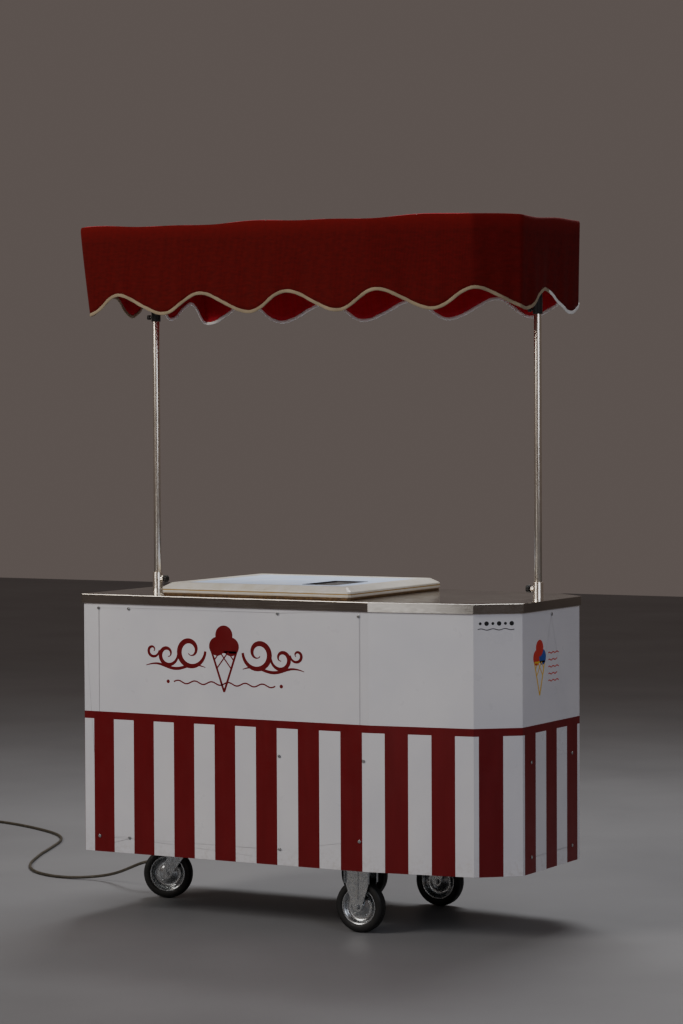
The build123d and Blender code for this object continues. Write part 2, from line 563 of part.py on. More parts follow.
moving_barrels = Part() + [
    hinge_barrel(x - MIDDLE_HALF, x + MIDDLE_HALF, LID_KNUCKLE_R) for x in LID_HINGE_X
]
lid_straps = Part() + [
    Pos(x, LID_Y[1] + STRAP_T / 2, (LID_HINGE_Z + LID_EDGE) / 2)
    * Box(2 * MIDDLE_HALF, STRAP_T, LID_EDGE - LID_HINGE_Z)
    for x in LID_HINGE_X
]
pin_bores = Part() + [
    hinge_barrel(x - MIDDLE_HALF - 6, x + MIDDLE_HALF + 6, LID_PIN_R + BORE_GAP) for x in LID_HINGE_X
]
with BuildPart() as lid_hinge_moving:
    add(moving_barrels)
    add(lid_straps)
    add(pin_bores, mode=Mode.SUBTRACT)
write(lid_hinge_moving, "lid_hinge_moving")

# ---- posts in their sleeves ----
FOOT_T, STOP_T, STOP_GAP, BOSS_R, BOSS_END = 4.0, 10.0, 0.3, 9.0, 24.0
STUD_R, KNOB_R, KNOB_W, KNOB_GAP, POST_END = 4.0, 11.5, 14.0, 2.0, 2228.0
FLUTES, FLUTE_R = 6, 3.6
for side_name, post_x, inward in (("left", POST_X[0], 1), ("right", POST_X[1], -1)):
    across = Plane(origin=(post_x, 0, KNOB_Z), x_dir=(0, 1, 0), z_dir=(inward, 0, 0))
    with BuildPart() as socket:
        with BuildSketch(Plane.XY.offset(CHANNEL_TOP)):
            with Locations((post_x, 0)):
                RectangleRounded(FOOT, FOOT, 6)
        extrude(amount=FOOT_T)
        with BuildSketch(Plane.XY.offset(CHANNEL_TOP + FOOT_T)):
            with Locations((post_x, 0)):
                Circle(SLEEVE_R)
        extrude(amount=SLEEVE_TOP - CHANNEL_TOP - FOOT_T)
        with BuildSketch(across):
            Circle(BOSS_R)
        extrude(amount=BOSS_END)
        stop_top = POST_FOOT - STOP_GAP
        for low, high in ((CHANNEL_TOP + FOOT_T, stop_top - STOP_T), (stop_top, SLEEVE_TOP)):
            with BuildSketch(Plane.XY.offset(low)):
                with Locations((post_x, 0)):
                    Circle(POST_R + BORE_GAP)
            extrude(amount=high - low, mode=Mode.SUBTRACT)
        with BuildSketch(Plane.XY.offset(CHANNEL_TOP)):
            with Locations((post_x, 0)):
                Circle(POST_R + BORE_GAP)
        extrude(amount=FOOT_T, mode=Mode.SUBTRACT)
        with BuildSketch(across):
            Circle(STUD_R + BORE_GAP)
        extrude(amount=BOSS_END, mode=Mode.SUBTRACT)
    write(socket, f"{side_name}_socket")

    with BuildPart() as knob:
        with BuildSketch(across.offset(POST_R + 0.4)):
            Circle(STUD_R)
        extrude(amount=BOSS_END + KNOB_GAP - POST_R)
        with BuildSketch(across.offset(BOSS_END + KNOB_GAP)):
            Circle(KNOB_R)
            with PolarLocations(KNOB_R + 2, FLUTES):
                Circle(FLUTE_R, mode=Mode.SUBTRACT)
        extrude(amount=KNOB_W)
        fillet(knob.edges().group_by(Axis.X)[-1 if inward > 0 else 0], radius=1.5)
    write(knob, f"{side_name}_knob")

    with BuildPart() as post:
        with BuildSketch(Plane.XY.offset(POST_FOOT)):
            with Locations((post_x, 0)):
                Circle(POST_R)
                Circle(POST_R - POST_WALL, mode=Mode.SUBTRACT)
        extrude(amount=POST_END - POST_FOOT)
    write(post, f"{side_name}_post")

# ---- canopy: collars, frame, fabric ----
COLLAR_LOW, COLLAR_R, LUG_UP, LUG_R, NUT_R, NUT_H = 1952.0, 15.5, 14.0, 4.0, 9.0, 8.0
with BuildPart() as post_collars:
    with BuildSketch(Plane.XY.offset(COLLAR_LOW)):
        with Locations(*[(x, 0) for x in POST_X]):
            Circle(COLLAR_R)
            Circle(POST_R + BORE_GAP, mode=Mode.SUBTRACT)
    extrude(amount=POST_END - COLLAR_LOW)
    for post_x in POST_X:
        outward = Plane(origin=(post_x, 0, COLLAR_LOW + LUG_UP), x_dir=(0, 1, 0), z_dir=(-1, 0, 0))
        with BuildSketch(outward.offset(COLLAR_R - 1)):
            Circle(LUG_R)
        extrude(amount=NUT_H + 1)
        with BuildSketch(outward.offset(COLLAR_R + NUT_H)):
            RegularPolygon(NUT_R, 6)
        extrude(amount=NUT_H)
write(post_collars, "post_collars")

BAR, BAR_INSET, BAR_LOW = 16.0, 8.0, POST_END
rail = ring(BAR_INSET, BAR_INSET + BAR, BAR_LOW, BAR_LOW + BAR)
rail_inside = Pos(0, 0, BAR_LOW) * extrude(plan(BAR_INSET + 1), amount=BAR)
bars = Part() + [Pos(x, 0, BAR_LOW + BAR / 2) * Box(BAR, DEPTH, BAR) for x in POST_X]
ridge = Pos(0, 0, BAR_LOW + BAR / 2) * Box(LENGTH, BAR, BAR)
with BuildPart() as canopy_frame:
    add(rail)
    add((bars + ridge) & rail_inside)
write(canopy_frame, "canopy_frame")

ROUND = sum(length_of(a, b) for a, b in FACETS)
END_PHASE = (ROUND - SCALLOP_LOW_X) / SCALLOP_PERIOD
HEM_STEPS = 12


def hem_height(s):
    """Height of the valance's hem at a distance round the outline from the front left corner."""
    if s <= ROUND:
        phase = (s - SCALLOP_LOW_X) / SCALLOP_PERIOD
    else:
        closing = ceil(END_PHASE) + 2 - SCALLOP_LOW_X / SCALLOP_PERIOD
        phase = END_PHASE + (closing - END_PHASE) * (s - ROUND) / DEPTH
    skewed = phase + SCALLOP_SKEW * (1 - cos(2 * pi * phase))
    return SCALLOP_MID - SCALLOP_AMP * cos(2 * pi * skewed)


CLOTH_SIDES = FACETS + [(OUTLINE[-1], OUTLINE[0])]
SLIT, CORNER_CUT = 0.05, 100.0     # the sheets stay this far apart; length of the cut at each corner
VALANCE_TOP = CANOPY_TOP - CLOTH - SLIT
valance_sides, start = [], 0.0
for index, (a, b) in enumerate(CLOTH_SIDES):
    width = length_of(a, b)
    steps = max(3, round(HEM_STEPS * width / SCALLOP_PERIOD))
    hem = [(width * n / steps, hem_height(start + width * n / steps)) for n in range(steps + 1)]
    side = make_face(Polyline(*hem, (width, VALANCE_TOP), (0, VALANCE_TOP), close=True))
    following = facet_plane(*CLOTH_SIDES[(index + 1) % len(CLOTH_SIDES)])
    corner = following * Pos(CORNER_CUT / 2 - SLIT, CANOPY_TOP, -CLOTH / 2) * Box(
        CORNER_CUT, CANOPY_TOP, CLOTH + 2 * SLIT)
    valance_sides.append(facet_plane(a, b) * extrude(side, amount=-CLOTH) - corner)
    start += width
canopy_top = Pos(0, 0, CANOPY_TOP - CLOTH) * extrude(plan(), amount=CLOTH)
with BuildPart() as canopy:
    add(canopy_top)
    for side in valance_sides:
        add(side)
write(canopy, "canopy")

# ---- castors ----
LEG_IN, LEG_T, HUB_R, HUB_W, EYE_R = 23.5, 3.0, 15.0, 44.0, 17.0
CROWN_Z, CROWN_T, CROWN_R, BOSS_T, RACE_R, KING_R, KING_H = 186.0, 5.7, 33.0, 10.0, 27.0, 8.0, 14.0
AXLE_OUT, AXLE_NUT_R, AXLE_NUT_T = 18.0, 8.5, 7.0
RIDGE_W, RIDGE_H, LIP, LIP_T, WAIST = 9.0, 2.5, 8.0, 2.4, WHEEL_R + 74.0
DISC_R, FLANGE_W, TREAD_EDGE = 34.0, 30.0, WHEEL_R - 7.0
LEG_HALF, LEG_HALF_LEANING = 42.0, 32.0
with BuildPart() as rim_master:
    with BuildSketch(Plane.XZ):
        Polygon((AXLE_R + BORE_GAP, -HUB_W / 2), (HUB_R, -HUB_W / 2), (HUB_R, -8), (DISC_R, -4),
                (RIM_R - 6, -4),
                (RIM_R - 4, -FLANGE_W / 2), (RIM_R, -FLANGE_W / 2), (RIM_R, FLANGE_W / 2),
                (RIM_R - 4, FLANGE_W / 2), (RIM_R - 6, 4), (DISC_R, 0),
                (HUB_R, 4), (HUB_R, HUB_W / 2), (AXLE_R + BORE_GAP, HUB_W / 2), align=None)
    revolve(axis=Axis.Z)
with BuildPart() as tyre_master:
    with BuildSketch(Plane.XZ):
        with BuildLine():
            half = TYRE_W / 2
            Polyline((TREAD_EDGE, -half), (RIM_R, -half + 2), (RIM_R, half - 2), (TREAD_EDGE, half))
            ThreePointArc((TREAD_EDGE, half), (WHEEL_R, 0), (TREAD_EDGE, -half))
        make_face()
    revolve(axis=Axis.Z)


def castor_plane(centre, turn):
    """Local frame of a castor: X along the roll, Y up, Z along the axle towards the front."""
    angle = radians(turn)
    return Plane(origin=(*centre, 0), x_dir=(cos(angle), sin(angle), 0), z_dir=(sin(angle), -cos(angle), 0))


def fork_legs(place, top, lean):
    """Two tapering legs with a pressed ridge each and holes for the axle."""
    legs = Part()
    half = LEG_HALF_LEANING if lean else LEG_HALF
    low, high = lean - half, lean + half
    for side in (-1, 1):
        face = make_face(Polyline((-EYE_R, WHEEL_R), (low, WAIST), (low, top), (high, top),
                                  (high, WAIST), (EYE_R, WHEEL_R), close=True))
        face = Sketch() + face + Pos(0, WHEEL_R) * Circle(EYE_R)
        face = face - Pos(0, WHEEL_R) * Circle(AXLE_R + BORE_GAP)
        inner = LEG_IN if side > 0 else -LEG_IN - LEG_T
        legs += place * Pos(0, 0, inner) * extrude(face, amount=LEG_T)
        ridge_face = make_face(Polyline((-RIDGE_W / 2, WHEEL_R + EYE_R), (lean - RIDGE_W / 2, top),
                                        (lean + RIDGE_W / 2, top), (RIDGE_W / 2, WHEEL_R + EYE_R), close=True))
        outer = LEG_IN + LEG_T if side > 0 else -LEG_IN - LEG_T - RIDGE_H
        legs += place * Pos(0, 0, outer) * extrude(ridge_face, amount=RIDGE_H)
        for edge in (low, high):
            lip = Pos(edge, (top + WAIST) / 2, side * (LEG_IN + LEG_T / 2 + LIP / 2))
            legs += place * lip * Box(LIP_T, top - WAIST, LEG_T + LIP)
    return legs


def axle_bolt(place):
    """A bolt through hub and legs with a head and a nut."""
    half = LEG_IN + LEG_T
    bolt = Cylinder(AXLE_R, 2 * half + AXLE_OUT)
    for side in (-1, 1):
        bolt += Pos(0, 0, side * (half + AXLE_NUT_T / 2)) * extrude(
            RegularPolygon(AXLE_NUT_R, 6), amount=AXLE_NUT_T / 2, both=True)
    return place * Pos(0, WHEEL_R, 0) * bolt


def mounting_plate(centre):
    """The castor's top plate with its four bolt holes."""
    plate = Pos(*centre, PLATE_TOP - PLATE_T / 2) * Box(*PLATE_SIZE, PLATE_T)
    holes = [
        Pos(centre[0] + sx * BOLT_PITCH[0] / 2, centre[1] + sy * BOLT_PITCH[1] / 2, PLATE_TOP)
        * Cylinder(BOLT_HOLE_R, 4 * PLATE_T)
        for sx in (-1, 1) for sy in (-1, 1)
    ]
    return plate - holes


swivel_angle = radians(SWIVEL_TURN)
SWIVEL_WHEEL = (SWIVEL_AT[0] - TRAIL * cos(swivel_angle), SWIVEL_AT[1] - TRAIL * sin(swivel_angle))
axles = Part()
for castor, centre in {"swivel": SWIVEL_WHEEL, **FIXED_CASTORS}.items():
    swivels = castor == "swivel"
    place = castor_plane(centre, SWIVEL_TURN if swivels else 0)
    if swivels:
        boss_at = Pos(*SWIVEL_AT, PLATE_TOP - PLATE_T - BOSS_T / 2)
        boss = boss_at * Cylinder(RACE_R, BOSS_T)
        socket_bore = boss_at * Cylinder(KING_R + BORE_GAP, BOSS_T)
        king_pin = Pos(*SWIVEL_AT, CROWN_Z + KING_H / 2) * Cylinder(KING_R, KING_H)
        crown = Pos(*SWIVEL_AT, CROWN_Z + CROWN_T / 2) * Cylinder(CROWN_R, CROWN_T)
        web_size = (2 * LEG_HALF_LEANING, LEG_T, 2 * (LEG_IN + LEG_T))
        web = place * Pos(TRAIL, CROWN_Z - LEG_T / 2, 0) * Box(*web_size)
        top_plate = mounting_plate(SWIVEL_AT) + boss - socket_bore
        bolt = axle_bolt(place)
        bracket = fork_legs(place, CROWN_Z, TRAIL) + crown + web + king_pin
        with BuildPart() as swivel_plate:
            add(top_plate)
        write(swivel_plate, "swivel_plate")
        with BuildPart() as swivel_axle:
            add(bolt)
        write(swivel_axle, "swivel_axle")
    else:
        bracket = fork_legs(place, PLATE_TOP - PLATE_T, 0) + mounting_plate(centre)
        axles += axle_bolt(place)
    with BuildPart() as fork:
        add(bracket)
    write(fork, f"{castor}_fork")
    hub = place * Pos(0, WHEEL_R, 0)
    with BuildPart() as rim:
        add(hub * rim_master.part)
    write(rim, f"{castor}_rim")
    with BuildPart() as tyre:
        add(hub * tyre_master.part)
    write(tyre, f"{castor}_tyre")
with BuildPart() as fixed_axles:
    add(axles)
write(fixed_axles, "fixed_axles")

BOLT_HEAD_H, BOLT_NUT_H, BOLT_HEX_R = 5.0, 6.0, 6.5
with BuildPart() as castor_bolts:
    for low, height in ((PLATE_TOP - PLATE_T - BOLT_HEAD_H, BOLT_HEAD_H), (PANEL_BOTTOM + STEEL, BOLT_NUT_H)):
        with BuildSketch(Plane.XY.offset(low)):
            with Locations(*PLATE_AT):
                with GridLocations(*BOLT_PITCH, 2, 2):
                    RegularPolygon(BOLT_HEX_R, 6)
        extrude(amount=height)
    with BuildSketch(Plane.XY.offset(PLATE_TOP - PLATE_T)):
        with Locations(*PLATE_AT):
            with GridLocations(*BOLT_PITCH, 2, 2):
                Circle(BOLT_R)
    extrude(amount=PLATE_T + STEEL)
write(castor_bolts, "castor_bolts")

# ---- mains lead: gland under the floor, a loose run along the floor, a coil and a plug ----
GLAND_TIP, COIL_R, COIL_W, COIL_H = 196.0, 57.0, 48.0, 20.0
COIL_OUT = COIL_R + COIL_W / 2 - CORD_D / 2        # middle of the outermost turn
COIL_AT = (-2400.0, 1318.0 - COIL_OUT)
GLAND_HEX_R, GLAND_NUT_H, GLAND_HEX_H = 13.0, 5.0, 8.0
with BuildPart() as cord_gland:
    for low, height in ((CHANNEL_TOP + TRAY_T, GLAND_NUT_H), (CHANNEL_TOP - GLAND_HEX_H, GLAND_HEX_H)):
        with BuildSketch(Plane.XY.offset(low)):
            with Locations(GLAND_AT):
                RegularPolygon(GLAND_HEX_R, 6)
        extrude(amount=height)
    with BuildSketch(Plane.XY.offset(CHANNEL_TOP)):
        with Locations(GLAND_AT):
            Circle(GLAND_R)
    extrude(amount=TRAY_T)
    with BuildSketch(Plane.XY.offset(CHANNEL_TOP - GLAND_HEX_H)):
        with Locations(GLAND_AT):
            Circle(GLAND_R)
    with BuildSketch(Plane.XY.offset(GLAND_TIP)):
        with Locations(GLAND_AT):
            Circle(CORD_D / 2 + 1.2)
    loft()
write(cord_gland, "cord_gland")

ON_FLOOR = CORD_D / 2
ROUTE = [
    (*GLAND_AT, GLAND_TIP), (*GLAND_AT, 160), (-728, 184, 128), (-783, 148, 110), (-850, 122, 96),
    (-915, 140, 70), (-985, 183, 45), (-1058, 222, 24), (-1130, 228, 11), (-1212, 212, ON_FLOOR),
    (-1298, 214, ON_FLOOR), (-1396, 262, ON_FLOOR), (-1474, 338, ON_FLOOR), (-1538, 432, ON_FLOOR),
    (-1588, 536, ON_FLOOR), (-1638, 646, ON_FLOOR), (-1680, 756, ON_FLOOR), (-1724, 866, ON_FLOOR),
    (-1770, 972, ON_FLOOR), (-1834, 1066, ON_FLOOR), (-1922, 1140, ON_FLOOR), (-2024, 1200, ON_FLOOR),
    (-2130, 1252, ON_FLOOR), (-2232, 1292, ON_FLOOR), (-2320, 1314, ON_FLOOR), (-2400, 1318, ON_FLOOR),
]


def corner_radii(points):
    """The largest arc each corner's two runs allow, with a little straight left on each."""
    radii = []
    for before, corner, after in zip(points, points[1:], points[2:]):
        into = Vector(*corner) - Vector(*before)
        out = Vector(*after) - Vector(*corner)
        half_turn = radians(into.get_angle(out)) / 2
        radii.append(0.45 * min(into.length, out.length) / tan(half_turn))
    return radii


RADII = corner_radii(ROUTE)
route_line = FilletPolyline(*ROUTE, radius=RADII)
with BuildPart() as power_cord:
    with BuildLine():
        add(route_line)
    with BuildSketch(Plane(origin=ROUTE[0], z_dir=(0, 0, -1))):
        Circle(CORD_D / 2)
    sweep()
write(power_cord, "power_cord")
print("smallest cord radius", round(min(RADII), 1), "run length", round(route_line.length, 1),
      "volume ratio", round(power_cord.part.volume / (pi * CORD_D**2 / 4 * route_line.length), 4))
print("turns in the coil", round((CORD_LENGTH - route_line.length) / (2 * pi * COIL_R), 2))

with BuildPart() as cord_coil:
    with BuildSketch():
        with Locations(COIL_AT):
            Circle(COIL_R + COIL_W / 2)
            Circle(COIL_R - COIL_W / 2, mode=Mode.SUBTRACT)
    extrude(amount=COIL_H)
    fillet(cord_coil.edges().filter_by(GeomType.CIRCLE).group_by(Axis.Z)[-1], radius=4)
write(cord_coil, "cord_coil")

PLUG_R, PLUG_X, PLUG_BACK = 19.0, COIL_AT[0] - COIL_OUT - 6, COIL_AT[1] - 22
NECK_R, NECK_END, SKIRT_R, FACE, FACE_T = 10.0, 26.0, 13.0, 44.0, 20.0
PIN_R, PIN_PITCH, PIN_OUT = 2.4, 19.0, 19.0
plug_axis = Plane(origin=(PLUG_X, PLUG_BACK, PLUG_R), x_dir=(1, 0, 0), z_dir=(0, -1, 0))
with BuildPart() as plug:
    with BuildSketch(plug_axis):
        Circle(CORD_D / 2 + 1)
    with BuildSketch(plug_axis.offset(NECK_END)):
        Circle(NECK_R)
    loft()
    with BuildSketch(plug_axis.offset(NECK_END)):
        Circle(SKIRT_R)
    with BuildSketch(plug_axis.offset(FACE)):
        Circle(PLUG_R)
    loft()
    with BuildSketch(plug_axis.offset(FACE)):
        Circle(PLUG_R)
    extrude(amount=FACE_T)
    with BuildSketch(plug_axis.offset(FACE + FACE_T)):
        with GridLocations(PIN_PITCH, 1, 2, 1):
            Circle(PIN_R)
    extrude(amount=PIN_OUT)
write(plug, "plug")
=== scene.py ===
import json
from math import ceil, copysign, cos, hypot, pi, radians, sin, sqrt

import bmesh
import bpy
import numpy as np
from bpy.props import FloatProperty, FloatVectorProperty, PointerProperty
from mathutils import Matrix, Vector


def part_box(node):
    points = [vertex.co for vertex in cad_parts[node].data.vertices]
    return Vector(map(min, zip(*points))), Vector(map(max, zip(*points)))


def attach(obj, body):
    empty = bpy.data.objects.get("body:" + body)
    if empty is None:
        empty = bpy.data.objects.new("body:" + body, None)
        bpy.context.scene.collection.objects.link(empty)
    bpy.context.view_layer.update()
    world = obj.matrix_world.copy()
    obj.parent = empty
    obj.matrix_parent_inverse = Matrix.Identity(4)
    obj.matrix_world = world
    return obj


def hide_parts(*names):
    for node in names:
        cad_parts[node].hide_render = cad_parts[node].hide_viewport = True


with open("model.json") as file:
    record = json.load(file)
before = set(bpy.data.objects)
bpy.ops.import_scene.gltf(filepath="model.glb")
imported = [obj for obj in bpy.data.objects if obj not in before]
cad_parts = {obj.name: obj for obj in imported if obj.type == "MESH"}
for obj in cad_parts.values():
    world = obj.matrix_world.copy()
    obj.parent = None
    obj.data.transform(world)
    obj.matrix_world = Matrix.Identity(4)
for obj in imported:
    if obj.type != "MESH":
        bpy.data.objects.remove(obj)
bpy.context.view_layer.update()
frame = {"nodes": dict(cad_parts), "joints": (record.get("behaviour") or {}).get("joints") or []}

bl_info = {
    "name": "Striped Vending Cart",
    "version": (1, 0, 0),
    "blender": (4, 5, 0),
    "location": "View3D > Sidebar > Cart",
    "description": "Cloth, lead, wheels, emblems and finishes for a push vending cart",
    "category": "Object",
}

MM = 0.001
WAVE_BANDS = 3.2                             # bands that a wave texture draws in one unit of its scale

# ---- the cart's plan, in metres: one end square, the other pointed ----
HALF_LENGTH, HALF_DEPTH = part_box("nose_panel")[1][0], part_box("nose_panel")[1][1]
SIDE_END = HALF_LENGTH - 460.5 * MM          # where the straight side meets the shallow facet
TAPER = (HALF_LENGTH - 119.5 * MM, HALF_DEPTH - 49.5 * MM)
NOSE_HALF = HALF_DEPTH - 150 * MM
FRONT_SIDE = [(-HALF_LENGTH, -HALF_DEPTH), (SIDE_END, -HALF_DEPTH), (TAPER[0], -TAPER[1]),
              (HALF_LENGTH, -NOSE_HALF)]
OUTLINE = FRONT_SIDE + [(x, -y) for x, y in reversed(FRONT_SIDE)]
PANEL_LOW, PANEL_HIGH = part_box("front_panel")[0][2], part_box("front_panel")[1][2]
WORKTOP_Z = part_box("worktop")[1][2]
CANOPY_LOW, CANOPY_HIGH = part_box("canopy")[0][2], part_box("canopy")[1][2]


# ------------------------ shading helpers
def linear(code):
    """A colour written as sRGB hex, in the linear values that shaders take."""
    parts = [int(code[i:i + 2], 16) / 255 for i in (0, 2, 4)]
    return (*[c / 12.92 if c <= 0.04045 else ((c + 0.055) / 1.055) ** 2.4 for c in parts], 1)


def shade(value):
    """Four linear values from an sRGB hex code, a grey level or a colour."""
    if isinstance(value, str):
        return linear(value)
    return (value, value, value, 1) if isinstance(value, (int, float)) else value


def scaled(colour, share):
    """A colour darkened to a share of itself."""
    return tuple(c * share for c in colour[:3]) + (1,)


def add(tree, kind, inputs=None, stops=(), **settings):
    """Adds a node, sets its settings and a ramp's (position, shade) stops, and sets or links its inputs."""
    item = tree.nodes.new(kind)
    for key, value in settings.items():
        setattr(item, key, value)
    for key, value in (inputs or {}).items():
        if isinstance(value, bpy.types.NodeSocket):
            tree.links.new(value, item.inputs[key])
        else:
            item.inputs[key].default_value = linear(value) if isinstance(value, str) else value
    if stops:
        marks = item.color_ramp.elements
        for mark, (position, tone) in zip((marks[0], marks[1]), (stops[0], stops[-1])):
            mark.position, mark.color = position, shade(tone)
        for position, tone in stops[1:-1]:
            marks.new(position).color = shade(tone)
    return item


def start(name, **constants):
    """A new material with a Principled shader whose constant values sit on its own sockets."""
    material = bpy.data.materials.new(name)
    material.use_nodes = True
    tree = material.node_tree
    tree.nodes.clear()
    shader = add(tree, "ShaderNodeBsdfPrincipled", {k.replace("_", " "): v for k, v in constants.items()})
    add(tree, "ShaderNodeOutputMaterial", {"Surface": shader.outputs[0]})
    place = add(tree, "ShaderNodeTexCoord").outputs["Object"]
    return material, tree, shader, place


def spots(tree, place, size_mm, detail=3.0, roughness=0.5, squeeze=(1, 1, 1)):
    """Cloudy spots about size_mm across, from 0 to 1; squeeze stretches them."""
    moved = add(tree, "ShaderNodeMapping", {"Vector": place, "Scale": squeeze}).outputs[0]
    noise = add(tree, "ShaderNodeTexNoise", {"Vector": moved, "Scale": 1 / (size_mm * MM), "Detail": detail,
                                             "Roughness": roughness})
    return noise.outputs["Fac"]


def patches(tree, place, spot, *stops):
    """Spots coloured through stops; spot holds the size in mm and what else spots takes."""
    return add(tree, "ShaderNodeValToRGB", {"Fac": spots(tree, place, *spot)}, stops).outputs["Color"]


def height_band(tree, place, low, high):
    """0 below low, 1 above high, along Z."""
    z = add(tree, "ShaderNodeSeparateXYZ", {"Vector": place}).outputs["Z"]
    return add(tree, "ShaderNodeMapRange", {"Value": z, "From Min": low, "From Max": high}).outputs["Result"]


def surface(tree, shader, colour, roughness, height, depth_mm, strength):
    """Links a finish's colour and roughness, and a relief of a real depth from a height of 0 to 1."""
    if colour:
        tree.links.new(colour, shader.inputs["Base Color"])
    if roughness:
        tree.links.new(roughness, shader.inputs["Roughness"])
    bump = add(tree, "ShaderNodeBump", {"Height": height, "Strength": strength, "Distance": depth_mm * MM})
    tree.links.new(bump.outputs[0], shader.inputs["Normal"])


def mottled(name, colours, gloss, grain, depth_mm, strength, **constants):
    """A finish with patches of colour, patches of roughness and a fine grain. Colours and gloss hold a spot
    and its stops, and grain holds a spot."""
    material, tree, shader, place = start(name, **constants)
    surface(tree, shader, patches(tree, place, *colours), patches(tree, place, *gloss),
            spots(tree, place, *grain), depth_mm, strength)
    return material


# ------------------------ materials
def stove_enamel():
    """White stove enamel on sheet: a tight satin skin with faint orange peel and road dust at its foot."""
    material, tree, shader, place = start("stove_enamel_white", IOR=1.5, Coat_Weight=0.25,
                                          Coat_Roughness=0.12)
    paint = patches(tree, place, (240,), (0.3, "DDDEE5"), (0.7, "E8E8EC"))
    foot = height_band(tree, place, PANEL_LOW + 90 * MM, PANEL_LOW)
    specks = patches(tree, place, (14, 6, 0.7), (0.45, 0), (0.75, 0.5))
    dust = add(tree, "ShaderNodeMath", {0: foot, 1: specks}, operation="MULTIPLY").outputs[0]
    dusty = add(tree, "ShaderNodeMix", {0: dust, 6: paint, 7: "B7B0A6"}, data_type="RGBA").outputs[2]
    gloss = patches(tree, place, (90, 5), (0.3, 0.26), (0.75, 0.4))
    surface(tree, shader, dusty, gloss, spots(tree, place, 5, 2), 0.02, 0.5)
    return material


def vinyl_film(name, base):
    """Cast vinyl film: even colour under a soft gloss, with a slight stipple and squeegee streaks."""
    material, tree, shader, place = start(name, IOR=1.48, Specular_IOR_Level=0.35)
    faded = (base[0] * 1.18 + 0.004, base[1] * 1.3 + 0.002, base[2] * 1.3 + 0.002, 1)
    streaks = patches(tree, place, (30, 4, 0.5, (1, 1, 0.15)), (0.3, base), (0.8, faded))
    gloss = patches(tree, place, (60, 4), (0.3, 0.3), (0.7, 0.42))
    surface(tree, shader, streaks, gloss, spots(tree, place, 4, 2), 0.015, 0.5)
    return material


def polished_stainless(name, code, low, high, squeeze, grain_mm=3.0, bump=0.35):
    """Stainless steel finished with a fine belt: long hair lines that pull reflections out across them."""
    material, tree, shader, place = start(name, Metallic=1.0)
    smears = patches(tree, place, (120, 4, 0.6), (0.35, scaled(linear(code), 0.82)), (0.65, code))
    lines = spots(tree, place, grain_mm, 6, 0.6, squeeze)
    gloss = add(tree, "ShaderNodeValToRGB", {"Fac": lines}, [(0.3, low), (0.75, high)])
    surface(tree, shader, smears, gloss.outputs["Color"], lines, 0.02, bump)
    return material


def zinc_plate():
    """Bright zinc plate on pressed steel: bluish metal with faint cloudy patches and a dull bloom."""
    return mottled(
        "bright_zinc_plate", [(9, 4, 0.6), (0.25, "A6AAAE"), (0.5, "B9BDC0"), (0.8, "CBCAC5")],
        [(4, 5), (0.3, 0.2), (0.8, 0.38)], (1.6, 3), 0.02, 0.06, Metallic=1.0)


def moulded_plastic(name, dark, light, rough=(0.38, 0.55), grain_mm=1.4, coat=0.0):
    """Injection-moulded plastic: a fine spark-eroded grain that breaks up its highlights."""
    return mottled(
        name, [(35, 4), (0.3, dark), (0.7, light)],
        [(20, 4), (0.3, rough[0]), (0.7, rough[1])], (grain_mm, 3), 0.05, 0.35,
        IOR=1.46, Coat_Weight=coat, Coat_Roughness=0.1)


def tread_rubber():
    """Carbon-black tyre rubber: dull and slightly brown with floor dust pressed into its pores."""
    return mottled(
        "tread_rubber_black", [(5, 6, 0.7), (0.5, "101010"), (0.72, "1B1A18"), (0.9, "3A3733")],
        [(16, 4), (0.3, 0.5), (0.8, 0.8)], (1.2, 3), 0.08, 0.5, IOR=1.52)


def awning_cloth(name, base, worn, pitch_mm=3.2):
    """Solution-dyed acrylic awning cloth: plain weave, uneven slubs, a soft bloom of fibre ends and a painted
    highlight, a lighter red towards the top.
    Its threads are 0.5 mm; they are drawn at pitch_mm so that the weave still shows."""
    material, tree, shader, place = start(name, IOR=1.45, Sheen_Weight=0.02, Sheen_Roughness=0.6,
                                          Roughness=0.9, Specular_IOR_Level=0.2)
    turned = add(tree, "ShaderNodeMapping", {"Vector": place, "Rotation": (0, 0, radians(8))}).outputs[0]
    warp, weft_x, weft_y = (
        add(tree, "ShaderNodeTexWave", {"Vector": vector, "Scale": 1 / (pitch_mm * MM) / WAVE_BANDS,
                                        "Distortion": 0.6, "Detail": 1.0},
            wave_type="BANDS", bands_direction=direction, wave_profile="SIN").outputs["Fac"]
        for vector, direction in ((place, "Z"), (turned, "X"), (turned, "Y")))
    weft = add(tree, "ShaderNodeMath", {0: weft_x, 1: weft_y}, operation="MULTIPLY").outputs[0]
    crossed = add(tree, "ShaderNodeMath", {0: warp, 1: weft}, operation="ADD").outputs[0]
    weave = add(tree, "ShaderNodeMath", {0: crossed, 1: 0.5}, operation="MULTIPLY").outputs[0]
    threads = add(tree, "ShaderNodeValToRGB", {"Fac": weave}, [(0.1, scaled(base, 0.72)), (0.75, base)])
    slubs = patches(tree, place, (26, 5, 0.6, (1, 1, 3)), (0.35, 0), (0.85, 0.45))
    uneven = add(tree, "ShaderNodeMix", {0: slubs, 6: threads.outputs["Color"], 7: worn},
                 data_type="RGBA").outputs[2]
    # painted highlight: near the top the cloth blends towards its worn tone, a lighter red that stands in for
    # light from above
    painted_light_at_top = height_band(tree, place, CANOPY_HIGH - 50 * MM, CANOPY_HIGH)
    top = add(tree, "ShaderNodeMath", {0: painted_light_at_top, 1: 0.55}, operation="MULTIPLY").outputs[0]
    colour = add(tree, "ShaderNodeMix", {0: top, 6: uneven, 7: worn}, data_type="RGBA").outputs[2]
    surface(tree, shader, colour, None, weave, 0.35, 0.45)
    return material


